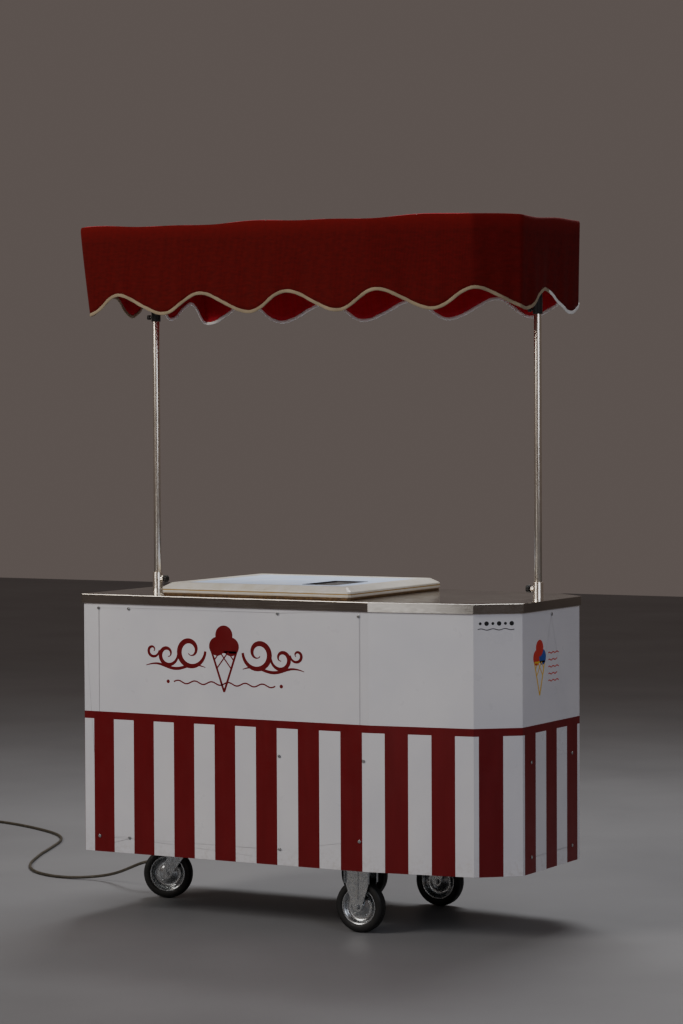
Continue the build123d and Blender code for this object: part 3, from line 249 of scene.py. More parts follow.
def binding_tape(code, worn):
    """Woven acrylic binding folded over a hem: ribbed across, a little grubby where it is handled."""
    material, tree, shader, place = start("woven_binding_tape_" + code, Roughness=0.8, Sheen_Weight=0.15)
    ribs = add(tree, "ShaderNodeTexWave", {"Vector": place, "Scale": 90, "Distortion": 1.5},
               wave_type="BANDS", bands_direction="DIAGONAL").outputs["Fac"]
    tone = patches(tree, place, (70, 4), (0.35, code), (0.75, worn))
    surface(tree, shader, tone, None, ribs, 0.3, 0.4)
    return material


def cream_plastic():
    """Cream moulded lid frame: smooth vacuum-formed skin, yellowed and scuffed, darker brown towards its
    foot.
    """
    material, tree, shader, place = start("cream_moulded_plastic", IOR=1.49, Coat_Weight=0.2,
                                          Coat_Roughness=0.25)
    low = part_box("lid_frame")[0][2]
    aged = patches(tree, place, (45, 5, 0.6), (0.3, "DAD5C4"), (0.7, "E9E7DF"))
    scuffs = patches(tree, place, (6, 6, 0.7), (0.58, 0), (0.8, 0.5))
    worn = add(tree, "ShaderNodeMix", {0: scuffs, 6: aged, 7: "B9AE97"}, data_type="RGBA").outputs[2]
    z = add(tree, "ShaderNodeSeparateXYZ", {"Vector": place}).outputs["Z"]
    seam = add(tree, "ShaderNodeMath", {0: z, 1: low + 12 * MM, 2: 1.6 * MM}, operation="COMPARE").outputs[0]
    seamed = add(tree, "ShaderNodeMix", {0: seam, 6: worn, 7: "B08A3C"}, data_type="RGBA").outputs[2]
    foot = height_band(tree, place, low + 6 * MM, low)
    colour = add(tree, "ShaderNodeMix", {0: foot, 6: seamed, 7: "8A6A3F"}, data_type="RGBA").outputs[2]
    gloss = patches(tree, place, (25, 4), (0.3, 0.3), (0.8, 0.5))
    surface(tree, shader, colour, gloss, spots(tree, place, 3, 3), 0.04, 0.4)
    return material


def satin_sheet():
    """Satin acrylic sheet over white foam, in a bright pale cold blue: painted light that stands in for
    a bluish light from above on a white sheet. Its IOR is set below acrylic's, so that at a grazing view
    the blue shows and not a mirror of the room."""
    return mottled(
        "satin_acrylic_sheet", [(110, 4, 0.55), (0.3, "C3D8F8"), (0.75, "DFEBFF")],
        [(30, 5), (0.3, 0.5), (0.8, 0.65)], (70, 2), 0.25, 0.3,
        IOR=1.12, Coat_Weight=0.05, Coat_Roughness=0.3)


def seal_rubber():
    """Brown magnetic-strip seal: soft matt rubber with ribs and crumbs of dirt."""
    return mottled(
        "seal_rubber_brown", [(8, 5), (0.3, "4A3218"), (0.8, "8B6A3C")],
        [(5, 3), (0.3, 0.5), (0.8, 0.7)], (2, 3), 0.1, 0.5, IOR=1.5)


def flex_rubber():
    """Grey-brown rubber flex: drawn sheath with a satin skin, dusty where it lies on the floor."""
    return mottled(
        "flex_rubber_grey", [(20, 6, 0.7), (0.3, "37332A"), (0.55, "4B463B"), (0.85, "77705F")],
        [(12, 4), (0.3, 0.42), (0.8, 0.65)], (1.5, 3), 0.06, 0.5, IOR=1.5)


def primed_steel():
    """Grey zinc primer on welded steel: flat and slightly sandy, with darker weld soot."""
    return mottled(
        "zinc_primer_grey", [(60, 6, 0.65), (0.3, "3D3F41"), (0.75, "5D5F60")],
        [(15, 4), (0.3, 0.55), (0.8, 0.75)], (1.5, 4), 0.08, 0.4, IOR=1.5)


def birch_plywood():
    """Birch plywood: pale face grain, and its plies as darker lines along the cut edge."""
    material, tree, shader, place = start("birch_plywood", IOR=1.5, Roughness=0.62)
    plies = add(tree, "ShaderNodeTexWave", {"Vector": place, "Scale": 110, "Distortion": 0.8},
                wave_type="BANDS", bands_direction="Z").outputs["Fac"]
    grain = spots(tree, place, 6, 6, 0.6, (0.08, 1, 1))
    face = add(tree, "ShaderNodeValToRGB", {"Fac": grain}, [(0.3, "B98F5B"), (0.75, "DFC193")])
    edge = add(tree, "ShaderNodeValToRGB", {"Fac": plies}, [(0.2, 0.75), (0.7, 1)])
    colour = add(tree, "ShaderNodeMix", {0: 0.5, 6: face.outputs["Color"], 7: edge.outputs["Color"]},
                 data_type="RGBA", blend_type="MULTIPLY").outputs[2]
    surface(tree, shader, colour, None, grain, 0.1, 0.4)
    return material


def rigid_foam():
    """Poured polyurethane foam: matt, straw-coloured and pitted with broken cells 3 mm across."""
    material, tree, shader, place = start("poured_foam", Roughness=0.95)
    cells = add(tree, "ShaderNodeTexVoronoi", {"Vector": place, "Scale": 1 / (3 * MM)}).outputs["Distance"]
    straw = add(tree, "ShaderNodeValToRGB", {"Fac": cells}, [(0.1, "C9B27A"), (0.6, "E8D8A8")])
    surface(tree, shader, straw.outputs["Color"], None, cells, 0.6, 0.5)
    return material


FINISHES = {}


def make_finishes(look):
    """Every material of the cart, once."""
    FINISHES.update({
        "painted_sheet": stove_enamel(),
        "red_vinyl": vinyl_film("cast_vinyl_red", tuple(look.film_red)),
        "worktop": polished_stainless("belt_polished_stainless", "B4AFA8", 0.1, 0.24, (0.03, 1, 1)),
        "stainless": polished_stainless("drawn_stainless_tube", "EFE7DA", 0.22, 0.3, (1, 1, 0.03),
                                        bump=0.012),
        "zinc_steel": zinc_plate(),
        "frame_steel": primed_steel(),
        "tyre_rubber": tread_rubber(),
        "black_plastic": moulded_plastic("moulded_nylon_black", "0C0C0D", "1A1A1B"),
        "grey_plastic": moulded_plastic("moulded_abs_grey", "3C3B3A", "535150", (0.3, 0.5), 2.0, 0.1),
        "collar": moulded_plastic("dark_enamelled_collar", "1C1A1A", "2E2B2A", (0.3, 0.45), 2.0, 0.2),
        "plywood": birch_plywood(),
        "foam": rigid_foam(),
        "aluminium": polished_stainless("mill_aluminium", "C9CACC", 0.28, 0.45, (1, 0.05, 1), 5.0),
        "canvas": awning_cloth("awning_cloth_red", tuple(look.cloth_red), linear("7C0F0C")),
        # a brighter red copy of the cloth for its inner face: painted light on the canopy's underside
        "canvas_inside_painted_lit": awning_cloth("awning_cloth_inside", linear("C4202F"), linear("CF3442")),
        "binding": binding_tape("A5957A", "877A62"),
        # a near-white copy of the tape for its back half: painted light, the tape itself is one colour
        "binding_painted_lit_back": binding_tape("F4F4F2", "DEDEDA"),
        "lid_plastic": cream_plastic(),
        "lid_sheet": satin_sheet(),
        "gasket": seal_rubber(),
        "cable_rubber": flex_rubber(),
        "ink_black": vinyl_film("cast_vinyl_black", linear("1A1A1C")),
        "ink_yellow": vinyl_film("cast_vinyl_straw", linear("E0B43C")),
        "ink_blue": vinyl_film("cast_vinyl_blue", linear("2C4E9A")),
        "ink_coral": vinyl_film("cast_vinyl_coral", linear("C8362E")),
    })


# ------------------------ mesh helpers
def finish_piece(name, mesh, finish, body, smooth=True):
    """Links a mesh as a piece with its material and body."""
    piece = bpy.data.objects.new(name, mesh)
    bpy.context.scene.collection.objects.link(piece)
    mesh.materials.append(FINISHES[finish])
    mesh.shade_smooth() if smooth else mesh.shade_flat()
    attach(piece, body)
    return piece


def mesh_of(name, points, faces):
    """A mesh from points and faces."""
    mesh = bpy.data.meshes.new(name)
    mesh.from_pydata([tuple(p) for p in points], [], faces)
    mesh.validate()
    return mesh


def face_outwards(mesh):
    """Turns the faces of a closed mesh outwards."""
    work = bmesh.new()
    work.from_mesh(mesh)
    bmesh.ops.recalc_face_normals(work, faces=work.faces)
    work.to_mesh(mesh)
    work.free()
    return mesh


def grid_faces(rows, columns, closed=False):
    """Quads of rings of points stored ring by ring; closed joins the last ring to the first."""
    faces = []
    for row in range(rows if closed else rows - 1):
        here, there = row * columns, (row + 1) % rows * columns
        for column in range(columns):
            following = (column + 1) % columns
            faces.append((here + column, here + following, there + following, there + column))
    return faces


def lathe(name, profile, places, steps=96, capped=False):
    """Spins a profile of (radius, along) about the local Z axis of each place; it is closed or capped."""
    turned = grid_faces(len(profile), steps, closed=not capped)
    if capped:
        last = (len(profile) - 1) * steps
        turned += [tuple(range(steps))[::-1], tuple(range(last, last + steps))]
    points, faces = [], []
    for place in places:
        base = len(points)
        for radius, along in profile:
            for step in range(steps):
                angle = 2 * pi * step / steps
                points.append(place @ Vector((radius * cos(angle), radius * sin(angle), along)))
        faces += [tuple(base + i for i in face) for face in turned]
    return face_outwards(mesh_of(name, points, faces))


def soften(piece, width_mm, segments=2, angle=35):
    """Breaks a piece's sharp edges by a small radius that catches the light."""
    weld = piece.modifiers.new("weld", "WELD")
    weld.merge_threshold = 0.02 * MM
    bevel = piece.modifiers.new("edge radius", "BEVEL")
    bevel.width = width_mm * MM
    bevel.segments = segments
    bevel.limit_method = "ANGLE"
    bevel.angle_limit = radians(angle)


def dress(node, finish, edge_mm=None):
    """Gives a carried-over node its material and, where it has sheet or moulded edges, a small radius."""
    piece = frame["nodes"][node]
    piece.data.materials.clear()
    piece.data.materials.append(FINISHES[finish])
    if edge_mm:
        soften(piece, edge_mm)


# ------------------------ plan helpers
def plan_loop(spacing, corner, corner_steps=6):
    """Points round the outline with arc length, corners rounded by a radius, evenly spaced on the sides.
    Returns rows of (x, y, outward x, outward y, distance from the front left corner)."""
    rows, travelled = [], 0.0
    count = len(OUTLINE)
    for index in range(count):
        a, b = Vector(OUTLINE[index]), Vector(OUTLINE[(index + 1) % count])
        after = Vector(OUTLINE[(index + 2) % count])
        side = b - a
        along = side.normalized()
        outward = Vector((along.y, -along.x))
        steps = max(2, round((side.length - 2 * corner) / spacing))
        for step in range(steps + 1):
            reach = corner + (side.length - 2 * corner) * step / steps
            point = a + along * reach
            rows.append((point.x, point.y, outward.x, outward.y, travelled + reach))
        turned = (after - b).normalized()
        next_outward = Vector((turned.y, -turned.x))
        start_point, end_point = b - along * corner, b + turned * corner
        for step in range(1, corner_steps):
            t = step / corner_steps
            point = start_point * (1 - t) ** 2 + b * 2 * t * (1 - t) + end_point * t ** 2
            out = (outward * (1 - t) + next_outward * t).normalized()
            rows.append((point.x, point.y, out.x, out.y, travelled + side.length + corner * (2 * t - 1)))
        travelled += side.length
    total = travelled
    return [(x, y, ox, oy, s % total) for x, y, ox, oy, s in rows], total


# ------------------------ canopy
SCALLOP_PERIOD, SCALLOP_LOW_AT, SCALLOP_SKEW = 322 * MM, -9 * MM, 0.034
SCALLOP_MID, SCALLOP_AMP = CANOPY_LOW + 31.5 * MM, 31.5 * MM
SQUARE_END = 2 * HALF_DEPTH
BACK_HANG, BACK_EASE = 12 * MM, 0.3          # the back of the valance hangs a little lower
CLOTH_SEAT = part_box("canopy_frame")[1][2] + 2 * MM   # the cloth lies on the frame's bars
CLOTH_OUT, CLOTH_CORNER, CLOTH_THICK = 6 * MM, 9 * MM, 1.2 * MM
RIDGE_LEFT, RIDGE_RIGHT = 0.36 - HALF_LENGTH, HALF_LENGTH - 0.48
FOLDS_MM = [(3.2, 322, 0.6), (2.2, 187, 2.1)]           # depth, length and phase of the valance's folds
TOP_RINGS = [0.04, 0.2, 0.38, 0.56, 0.72, 0.84, 0.92, 0.97, 0.99]
DROP_ROWS = [0.0, 0.006, 0.014, 0.03, 0.07, 0.14, 0.23, 0.33, 0.43, 0.53, 0.63, 0.73, 0.83, 0.92, 1.0]


def hem_height(s, total):
    """Height of the valance's hem at a distance round the outline."""
    round_length = total - SQUARE_END
    end_phase = (round_length - SCALLOP_LOW_AT) / SCALLOP_PERIOD
    if s <= round_length:
        phase = (s - SCALLOP_LOW_AT) / SCALLOP_PERIOD
    else:
        closing = ceil(end_phase) + 2 - SCALLOP_LOW_AT / SCALLOP_PERIOD
        phase = end_phase + (closing - end_phase) * (s - round_length) / SQUARE_END
    skewed = phase + SCALLOP_SKEW * (1 - cos(2 * pi * phase))
    return SCALLOP_MID - SCALLOP_AMP * cos(2 * pi * skewed) - BACK_HANG * back_share(s, round_length)


def back_share(s, round_length):
    """0 along the front and 1 along the back, easing over the ends."""
    rise = (s - round_length / 2) / BACK_EASE
    fall = (round_length + BACK_EASE - s) / BACK_EASE
    return min(1.0, max(0.0, min(rise, fall)))


def bell(distance, width):
    """1 at no distance, falling away over a width."""
    return np.exp(-(distance / width) ** 2)


def valance_shift(s, total, fall):
    """How far a point of the valance stands out; fall runs from 0 at its top to 1 at the hem.
    The folds and a fine crease deepen downwards, die out at the corners, and the whole valance leans in."""
    round_length = total - SQUARE_END
    folds = sum(depth * sin(2 * pi * s / (length * MM) + phase) for depth, length, phase in FOLDS_MM)
    folds += 1.6 * sin(2 * pi * s / (71 * MM) + 0.4 * sin(9 * s))
    side = SIDE_END + HALF_LENGTH
    corners = [0.0, side, round_length - side, round_length, total]
    pull = sum(bell(s - corner, 0.09) for corner in corners)
    return (folds * fall ** 1.3 * (1 - 0.6 * min(pull, 1.0)) - 7.0 * fall) * MM


def end_lean(x, fall):
    """The square end's free corners swing in towards the cart's middle."""
    return 30 * MM * fall ** 1.2 * bell(x + HALF_LENGTH, 0.13)


def canopy_edge_z(s):
    """Height of the canopy's top edge: slowly uneven, lifted towards the nose and never below the bars."""
    lift = 3.2 * sin(2 * pi * s / 0.63 + 0.9) + 1.8 * sin(2 * pi * s / 0.29)
    nose = 5.0 * bell(s - 1.5, 0.5)
    return max(CLOTH_SEAT, CANOPY_HIGH + (lift + nose - 1) * MM)


def make_canopy(look):
    """One sheet of awning cloth: the top, its turned edge and the scalloped valance, with a bound hem."""
    loop, total = plan_loop(look.canopy_step, CLOTH_CORNER)
    columns = len(loop)
    crown = CANOPY_HIGH + 2 * MM
    points = []
    for ring in TOP_RINGS:
        for x, y, ox, oy, s in loop:
            ridge_x = max(RIDGE_LEFT, min(RIDGE_RIGHT, x))
            px, py = ridge_x + (x + ox * CLOTH_OUT - ridge_x) * ring, (y + oy * CLOTH_OUT) * ring
            slack = -look.sag * sin(pi * ring) * (0.6 + 0.4 * cos(7 * px) * cos(9 * py))
            ripple = 5.6 * MM * ring * (1 - ring) * sin(41 * s)
            height = crown + (canopy_edge_z(s) - crown) * ring ** 3 + slack + ripple
            points.append((px, py, max(CLOTH_SEAT, height)))
    for fall in DROP_ROWS:
        for x, y, ox, oy, s in loop:
            top, low = canopy_edge_z(s), hem_height(s, total)
            roll = 4 * MM * max(0.0, 1 - fall / 0.03) ** 2
            reach = CLOTH_OUT - roll + valance_shift(s, total, fall)
            points.append((x + ox * reach + end_lean(x, fall), y + oy * reach, top + (low - top) * fall))
    rows = len(TOP_RINGS) + len(DROP_ROWS)
    mesh = mesh_of("canopy_cloth", points, grid_faces(rows, columns))
    work = bmesh.new()
    work.from_mesh(mesh)
    work.verts.ensure_lookup_table()
    rim = [edge for edge in work.edges if edge.is_boundary and all(v.index < columns for v in edge.verts)]
    bmesh.ops.triangle_fill(work, edges=rim, use_beauty=True)
    bmesh.ops.recalc_face_normals(work, faces=work.faces)
    work.to_mesh(mesh)
    work.free()
    cloth = finish_piece("canopy_cloth", mesh, "canvas", "canopy_set")
    # the inner face of the sheet takes the brighter copy of the cloth: painted light on the canopy's
    # underside
    mesh.materials.append(FINISHES["canvas_inside_painted_lit"])
    thick = cloth.modifiers.new("cloth thickness", "SOLIDIFY")
    thick.thickness = CLOTH_THICK
    thick.offset = -1
    thick.material_offset = 1
    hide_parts("canopy")
    tape = make_binding(points[-columns:], loop)


def make_binding(hem_row, loop):
    """Tape folded over the hem: a soft flattened loop of section carried along the cut edge."""
    around, half_h, half_w, set_up = 10, 5.6 * MM, 1.9 * MM, 2.5 * MM
    count = len(hem_row)
    points = []
    for index in range(count):
        before, here, after = (Vector(hem_row[(index + k) % count]) for k in (-1, 0, 1))
        tangent = (after - before).normalized()
        out = Vector((loop[index][2], loop[index][3], 0))
        up = out.cross(tangent).normalized()
        if up.z < 0:
            up = -up
        out = tangent.cross(up).normalized()
        for step in range(around):
            angle = 2 * pi * step / around
            pucker = 1 + 0.06 * sin(index * 1.7)
            points.append(here + up * (half_h * sin(angle) * pucker + set_up) + out * half_w * cos(angle))
    mesh = face_outwards(mesh_of("canopy_binding", points, grid_faces(count, around, closed=True)))
    tape = finish_piece("canopy_binding", mesh, "binding", "canopy_set")
    # the half of the tape with y above 0 takes the near-white copy: painted light
    mesh.materials.append(FINISHES["binding_painted_lit_back"])
    for face in mesh.polygons:
        face.material_index = int(face.center.y > 0)
    return tape


# ------------------------ wheels
WHEEL_RADIUS = (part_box("front_tyre")[1][2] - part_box("front_tyre")[0][2]) / 2
WHEEL_BODIES = {"swivel": "swivel_wheel", "front": "front_wheel", "back": "back_wheel",
                "rear_left": "rear_left_wheel"}
# one side of each turned profile, as (radius, along the axle) in mm on a wheel of PROFILE_RADIUS
PROFILE_RADIUS, HUB_RADIUS = 80, 13
TREAD_HALF = [(56.4, -8), (57, -15), (58, -17.4), (63, -18.6), (69, -18.9), (74, -17.8), (77.4, -14.6),
              (79.1, -10), (79.5, -7), (78.3, -6.2), (78.3, -4.8), (79.8, -4)]
DISH_HALF = [(5.1, -22), (11, -22), (12.4, -21), (12.8, -19), (12.8, -11), (15, -9.6), (22, -8.4), (25, -6.4),
             (30, -3.4), (38, -2.6), (43, -4.2), (47, -8), (50, -12.6), (53, -15.4), (56.2, -16.4),
             (57.6, -15.8), (57.6, -14.4), (56.4, -14.2)]
RIVET_HEAD = [(0.01, 1.9), (1.6, 1.7), (2.7, 1.0), (3.1, 0), (3.1, -0.8), (0.01, -0.8)]
RIVETS, RIVET_CIRCLE, RIVET_FACE = 5, 33 * MM, 2.6 * MM


def mirrored(half, middle):
    """A profile from one of its sides and its middle point."""
    return half + [middle] + [(radius, -along) for radius, along in reversed(half)]


def wheel_place(castor):
    """The matrix of a wheel: its middle, with local Z along its axle."""
    low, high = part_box(f"{castor}_tyre")
    middle = Vector([(a + b) / 2 for a, b in zip(low, high)])
    spin = next(j for j in frame["joints"] if j["child"] == WHEEL_BODIES[castor])
    axle = Vector(spin["axis"]).normalized()
    return Matrix.Translation(middle) @ axle.to_track_quat("Z", "Y").to_matrix().to_4x4()


def make_wheel(castor):
    """A pressed steel disc wheel with a rubber tyre: stepped dish, rolled rim, hub, rivets and grooves."""
    place, size = wheel_place(castor), WHEEL_RADIUS / PROFILE_RADIUS
    body = WHEEL_BODIES[castor]
    tread = [(r * size, a * MM) for r, a in mirrored(TREAD_HALF, (80, 0))]
    tyre = finish_piece(f"{castor}_tyre_rubber", lathe(f"{castor}_tyre", tread, [place]), "tyre_rubber",
                        body)
    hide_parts(f"{castor}_tyre")
    dish = [(r * (size if r > HUB_RADIUS else MM), a * MM) for r, a in mirrored(DISH_HALF, (56.2, 0))]
    rim = finish_piece(f"{castor}_rim_disc", lathe(f"{castor}_rim", dish, [place]), "zinc_steel", body)
    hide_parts(f"{castor}_rim")
    rivets = []
    for side in (-1, 1):
        for number in range(RIVETS):
            angle = 2 * pi * number / RIVETS + 0.3
            spot = (RIVET_CIRCLE * cos(angle), RIVET_CIRCLE * sin(angle), side * RIVET_FACE)
            rivets.append(place @ Matrix.Translation(spot) @ Matrix.Scale(side, 4, (0, 0, 1)))
    head = [(r * MM, a * MM) for r, a in RIVET_HEAD]
    studs = lathe(f"{castor}_rim_rivets", head, rivets, steps=16, capped=True)
    finish_piece(f"{castor}_rim_rivets", studs, "zinc_steel", body)


# ------------------------ lead
GLAND_LOW, GLAND_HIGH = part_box("cord_gland")
GLAND_AT = ((GLAND_LOW[0] + GLAND_HIGH[0]) / 2, (GLAND_LOW[1] + GLAND_HIGH[1]) / 2)
CORD_R = 5 * MM
LEAD_ROUTE_MM = [
    (-706.5, 200, 196), (-706.5, 200, 160), (-728, 184, 128), (-783, 148, 110), (-850, 122, 96),
    (-915, 140, 70), (-985, 183, 45), (-1058, 222, 24), (-1130, 228, 11), (-1212, 212, 5),
    (-1298, 214, 5), (-1396, 262, 5), (-1474, 338, 5), (-1538, 432, 5),
    (-1588, 536, 5), (-1638, 646, 5), (-1680, 756, 5), (-1724, 866, 5),
    (-1770, 972, 5), (-1834, 1066, 5), (-1922, 1140, 5), (-2024, 1200, 5),
    (-2130, 1252, 5), (-2232, 1292, 5), (-2320, 1314, 5),
]
COIL_TURNS, TURN_POINTS, CLIMB_POINTS = 7.25, 20, 10
COIL_WIDTH, LAYER = 38 * MM, 10.2 * MM
PLUG_LEAD_IN, PLUG_TUCK = 6 * MM, 4 * MM
TIE_ANGLE, TIE_HALF, TIE_THICK = radians(20), 8 * MM, 1.1 * MM


def make_lead():
    """The mains flex: out of its gland, loose along the floor, then its spare length wound in two layers."""
    low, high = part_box("cord_coil")
    centre = ((low[0] + high[0]) / 2, (low[1] + high[1]) / 2)
    outer = (high[0] - low[0]) / 2 - CORD_R
    inner = outer - COIL_WIDTH
    route = [Vector(p) * MM for p in LEAD_ROUTE_MM]
    steps = round(COIL_TURNS * TURN_POINTS)
    half = steps / 2
    for step in range(steps + 1):
        angle = pi / 2 + 2 * pi * step / TURN_POINTS
        radius = inner + COIL_WIDTH * abs(step - half) / half
        climb = min(1.0, max(0.0, (step - half) / CLIMB_POINTS + 0.5))
        route.append(Vector((centre[0] + radius * cos(angle), centre[1] + radius * sin(angle),
                             CORD_R + LAYER * climb)))
    plug_low, plug_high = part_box("plug")
    plug_x, plug_z = (plug_low[0] + plug_high[0]) / 2, (plug_low[2] + plug_high[2]) / 2
    for reach in (PLUG_LEAD_IN, -PLUG_TUCK):
        route.append(Vector((plug_x, plug_high[1] + reach, plug_z)))
    curve = bpy.data.curves.new("power_flex", "CURVE")
    curve.dimensions = "3D"
    line = curve.splines.new("NURBS")
    line.points.add(len(route) - 1)
    for point, place in zip(line.points, route):
        point.co = (*place, 1)
    line.order_u = 3
    line.use_endpoint_u = True
    line.resolution_u = 8
    curve.bevel_depth = CORD_R
    curve.bevel_resolution = 5
    curve.use_fill_caps = True
    flex = bpy.data.objects.new("power_flex", curve)
    bpy.context.scene.collection.objects.link(flex)
    curve.materials.append(FINISHES["cable_rubber"])
    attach(flex, "cart")
    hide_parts("power_cord", "cord_coil")
    tie = make_tie(centre, (outer + inner) / 2, (outer - inner) / 2 + CORD_R)
    dress("plug", "black_plastic", 1.0)


def make_tie(centre, radius, half_width):
    """A hook-and-loop strap round one side of the coil."""
    radial = Vector((cos(TIE_ANGLE), sin(TIE_ANGLE), 0))
    along, up = Vector((-sin(TIE_ANGLE), cos(TIE_ANGLE), 0)), Vector((0, 0, 1))
    middle = Vector((*centre, CORD_R + 5 * MM)) + radial * radius
    floor_side = -(CORD_R + 4.6 * MM)
    points, around = [], 28
    rows = [(-TIE_HALF, 0.0), (-TIE_HALF, TIE_THICK), (TIE_HALF, TIE_THICK), (TIE_HALF, 0.0)]
    for shift, proud in rows:
        for step in range(around):
            across, high = cos(2 * pi * step / around), sin(2 * pi * step / around)
            reach = copysign(sqrt(abs(across)), across) * (half_width + 1 * MM + proud)
            rise = copysign(sqrt(abs(high)), high) * (CORD_R + 5.4 * MM + proud)
            points.append(middle + along * shift + radial * reach + up * max(rise, floor_side))
    mesh = mesh_of("cord_tie", points, grid_faces(len(rows), around, closed=True))
    return finish_piece("cord_tie", mesh, "black_plastic", "cart")


# ------------------------ emblems
FILM_OUT, LAYER_OUT = 0.45 * MM, 0.08 * MM
SWIRL_POINTS, BAR_POINTS = 46, 60
# places on a facet, in mm along it and above the floor
SIDE_MIDDLE, END_MIDDLE = (537, 872), (122, 862)
SCROLLS = [(58, 128, 6, 1.35), (40, 214, -8, 1.2), (25, 270, 4, 1.1)]   # size, reach, rise and turns


def facet_matrix(a, b):
    """Local X along a facet, Y up, Z outwards, with its origin at the facet's foot on the floor."""
    along = Vector((b[0] - a[0], b[1] - a[1], 0)).normalized()
    up = Vector((0, 0, 1))
    out = along.cross(up)
    return Matrix((
        (along.x, up.x, out.x, a[0]), (along.y, up.y, out.y, a[1]), (along.z, up.z, out.z, 0), (0, 0, 0, 1)))


def film_shape(outline, place, base=0.0):
    """Points and faces of one flat cut shape in mm, as a closed slip of film on a facet."""
    count = len(outline)
    points = [place @ Vector((u * MM, v * MM, base)) for u, v in outline]
    points += [place @ Vector((u * MM, v * MM, base + FILM_OUT)) for u, v in outline]
    faces = [tuple(range(count - 1, -1, -1)), tuple(range(count, 2 * count))]
    faces += [(i, (i + 1) % count, count + (i + 1) % count, count + i) for i in range(count)]
    return points, faces


def disc(u, v, radius, steps=40):
    """A circle as an outline."""
    turns = [2 * pi * i / steps for i in range(steps)]
    return [(u + radius * cos(turn), v + radius * sin(turn)) for turn in turns]


def film_ribbon(path, widths, place, base=0.0):
    """A brush stroke as a closed slip of film: a smooth path in mm with a width at each of its points."""
    count = len(path)
    left, right = [], []
    for index, (u, v) in enumerate(path):
        before, after = path[max(index - 1, 0)], path[min(index + 1, count - 1)]
        du, dv = after[0] - before[0], after[1] - before[1]
        share = widths[index] / 2 / (hypot(du, dv) or 1)
        left.append((u - dv * share, v + du * share))
        right.append((u + dv * share, v - du * share))
    points = []
    for side in (left, right):
        for level in (base, base + FILM_OUT):
            points += [place @ Vector((u * MM, v * MM, level)) for u, v in side]
    faces = []
    for i in range(count - 1):
        for one, two in ((0, 1), (1, 3), (3, 2), (2, 0)):
            faces.append((one * count + i, one * count + i + 1, two * count + i + 1, two * count + i))
    faces += [(0, count, 3 * count, 2 * count), (count - 1, 3 * count - 1, 4 * count - 1, 2 * count - 1)]
    return points, faces


def film_piece(name, shapes, finish):
    """Joins cut shapes into one piece of film."""
    points, faces = [], []
    for shape_points, shape_faces in shapes:
        base = len(points)
        points += shape_points
        faces += [tuple(base + i for i in face) for face in shape_faces]
    mesh = mesh_of(name, points, faces)
    work = bmesh.new()
    work.from_mesh(mesh)
    bmesh.ops.recalc_face_normals(work, faces=work.faces)
    bmesh.ops.triangulate(work, faces=[f for f in work.faces if len(f.verts) > 4])
    work.to_mesh(mesh)
    work.free()
    finish_piece(name, mesh, finish, "cart", smooth=False)


def swirl(u, v, size, turns, lean, flip):
    """A scroll that starts wide and winds in on itself."""
    path = []
    for index in range(SWIRL_POINTS):
        t = index / (SWIRL_POINTS - 1)
        angle = lean + flip * 2 * pi * turns * t
        radius = size * (1 - 0.82 * t)
        path.append((u + radius * cos(angle), v + radius * sin(angle)))
    return path


def wave_line(u_low, u_high, v, rise, waves, count):
    """A wavy line as a path."""
    return [(u_low + (u_high - u_low) * i / (count - 1), v + rise * sin(2 * pi * waves * i / (count - 1)))
            for i in range(count)]


def stroke(a, b, parts, width, place, base):
    """A straight line of film from a to b."""
    path = [(a[0] + (b[0] - a[0]) * k / parts, a[1] + (b[1] - a[1]) * k / parts) for k in range(parts + 1)]
    return film_ribbon(path, [width] * (parts + 1), place, base)


def cone_shapes(u, v, size, place):
    """A cornet with three scoops: wafer outline with crossed lines, and round scoops, each on a layer."""
    half = 0.36 * size
    corners = [(u - half, v), (u, v - size), (u + half, v)]
    wafer, scoops = [], []
    for a, b in zip(corners, corners[1:] + corners[:1]):
        wafer.append(stroke(a, b, 12, 0.055 * size, place, LAYER_OUT * len(wafer)))
    for t in (1 / 3, 2 / 3):
        for flip in (-1, 1):
            a = (u + flip * half * (1 - 0.62 * t), v - 0.62 * size * t)
            b = (u + flip * half * (1 - 2 * t), v)
            wafer.append(stroke(a, b, 8, 0.03 * size, place, LAYER_OUT * len(wafer)))
    for du, dv, radius in ((-0.2, 0.14, 0.235), (0.2, 0.14, 0.235), (0, 0.42, 0.25)):
        outline = disc(u + du * size, v + dv * size, radius * size)
        scoops.append(film_shape(outline, place, LAYER_OUT * (1 + len(scoops))))
    return wafer, scoops


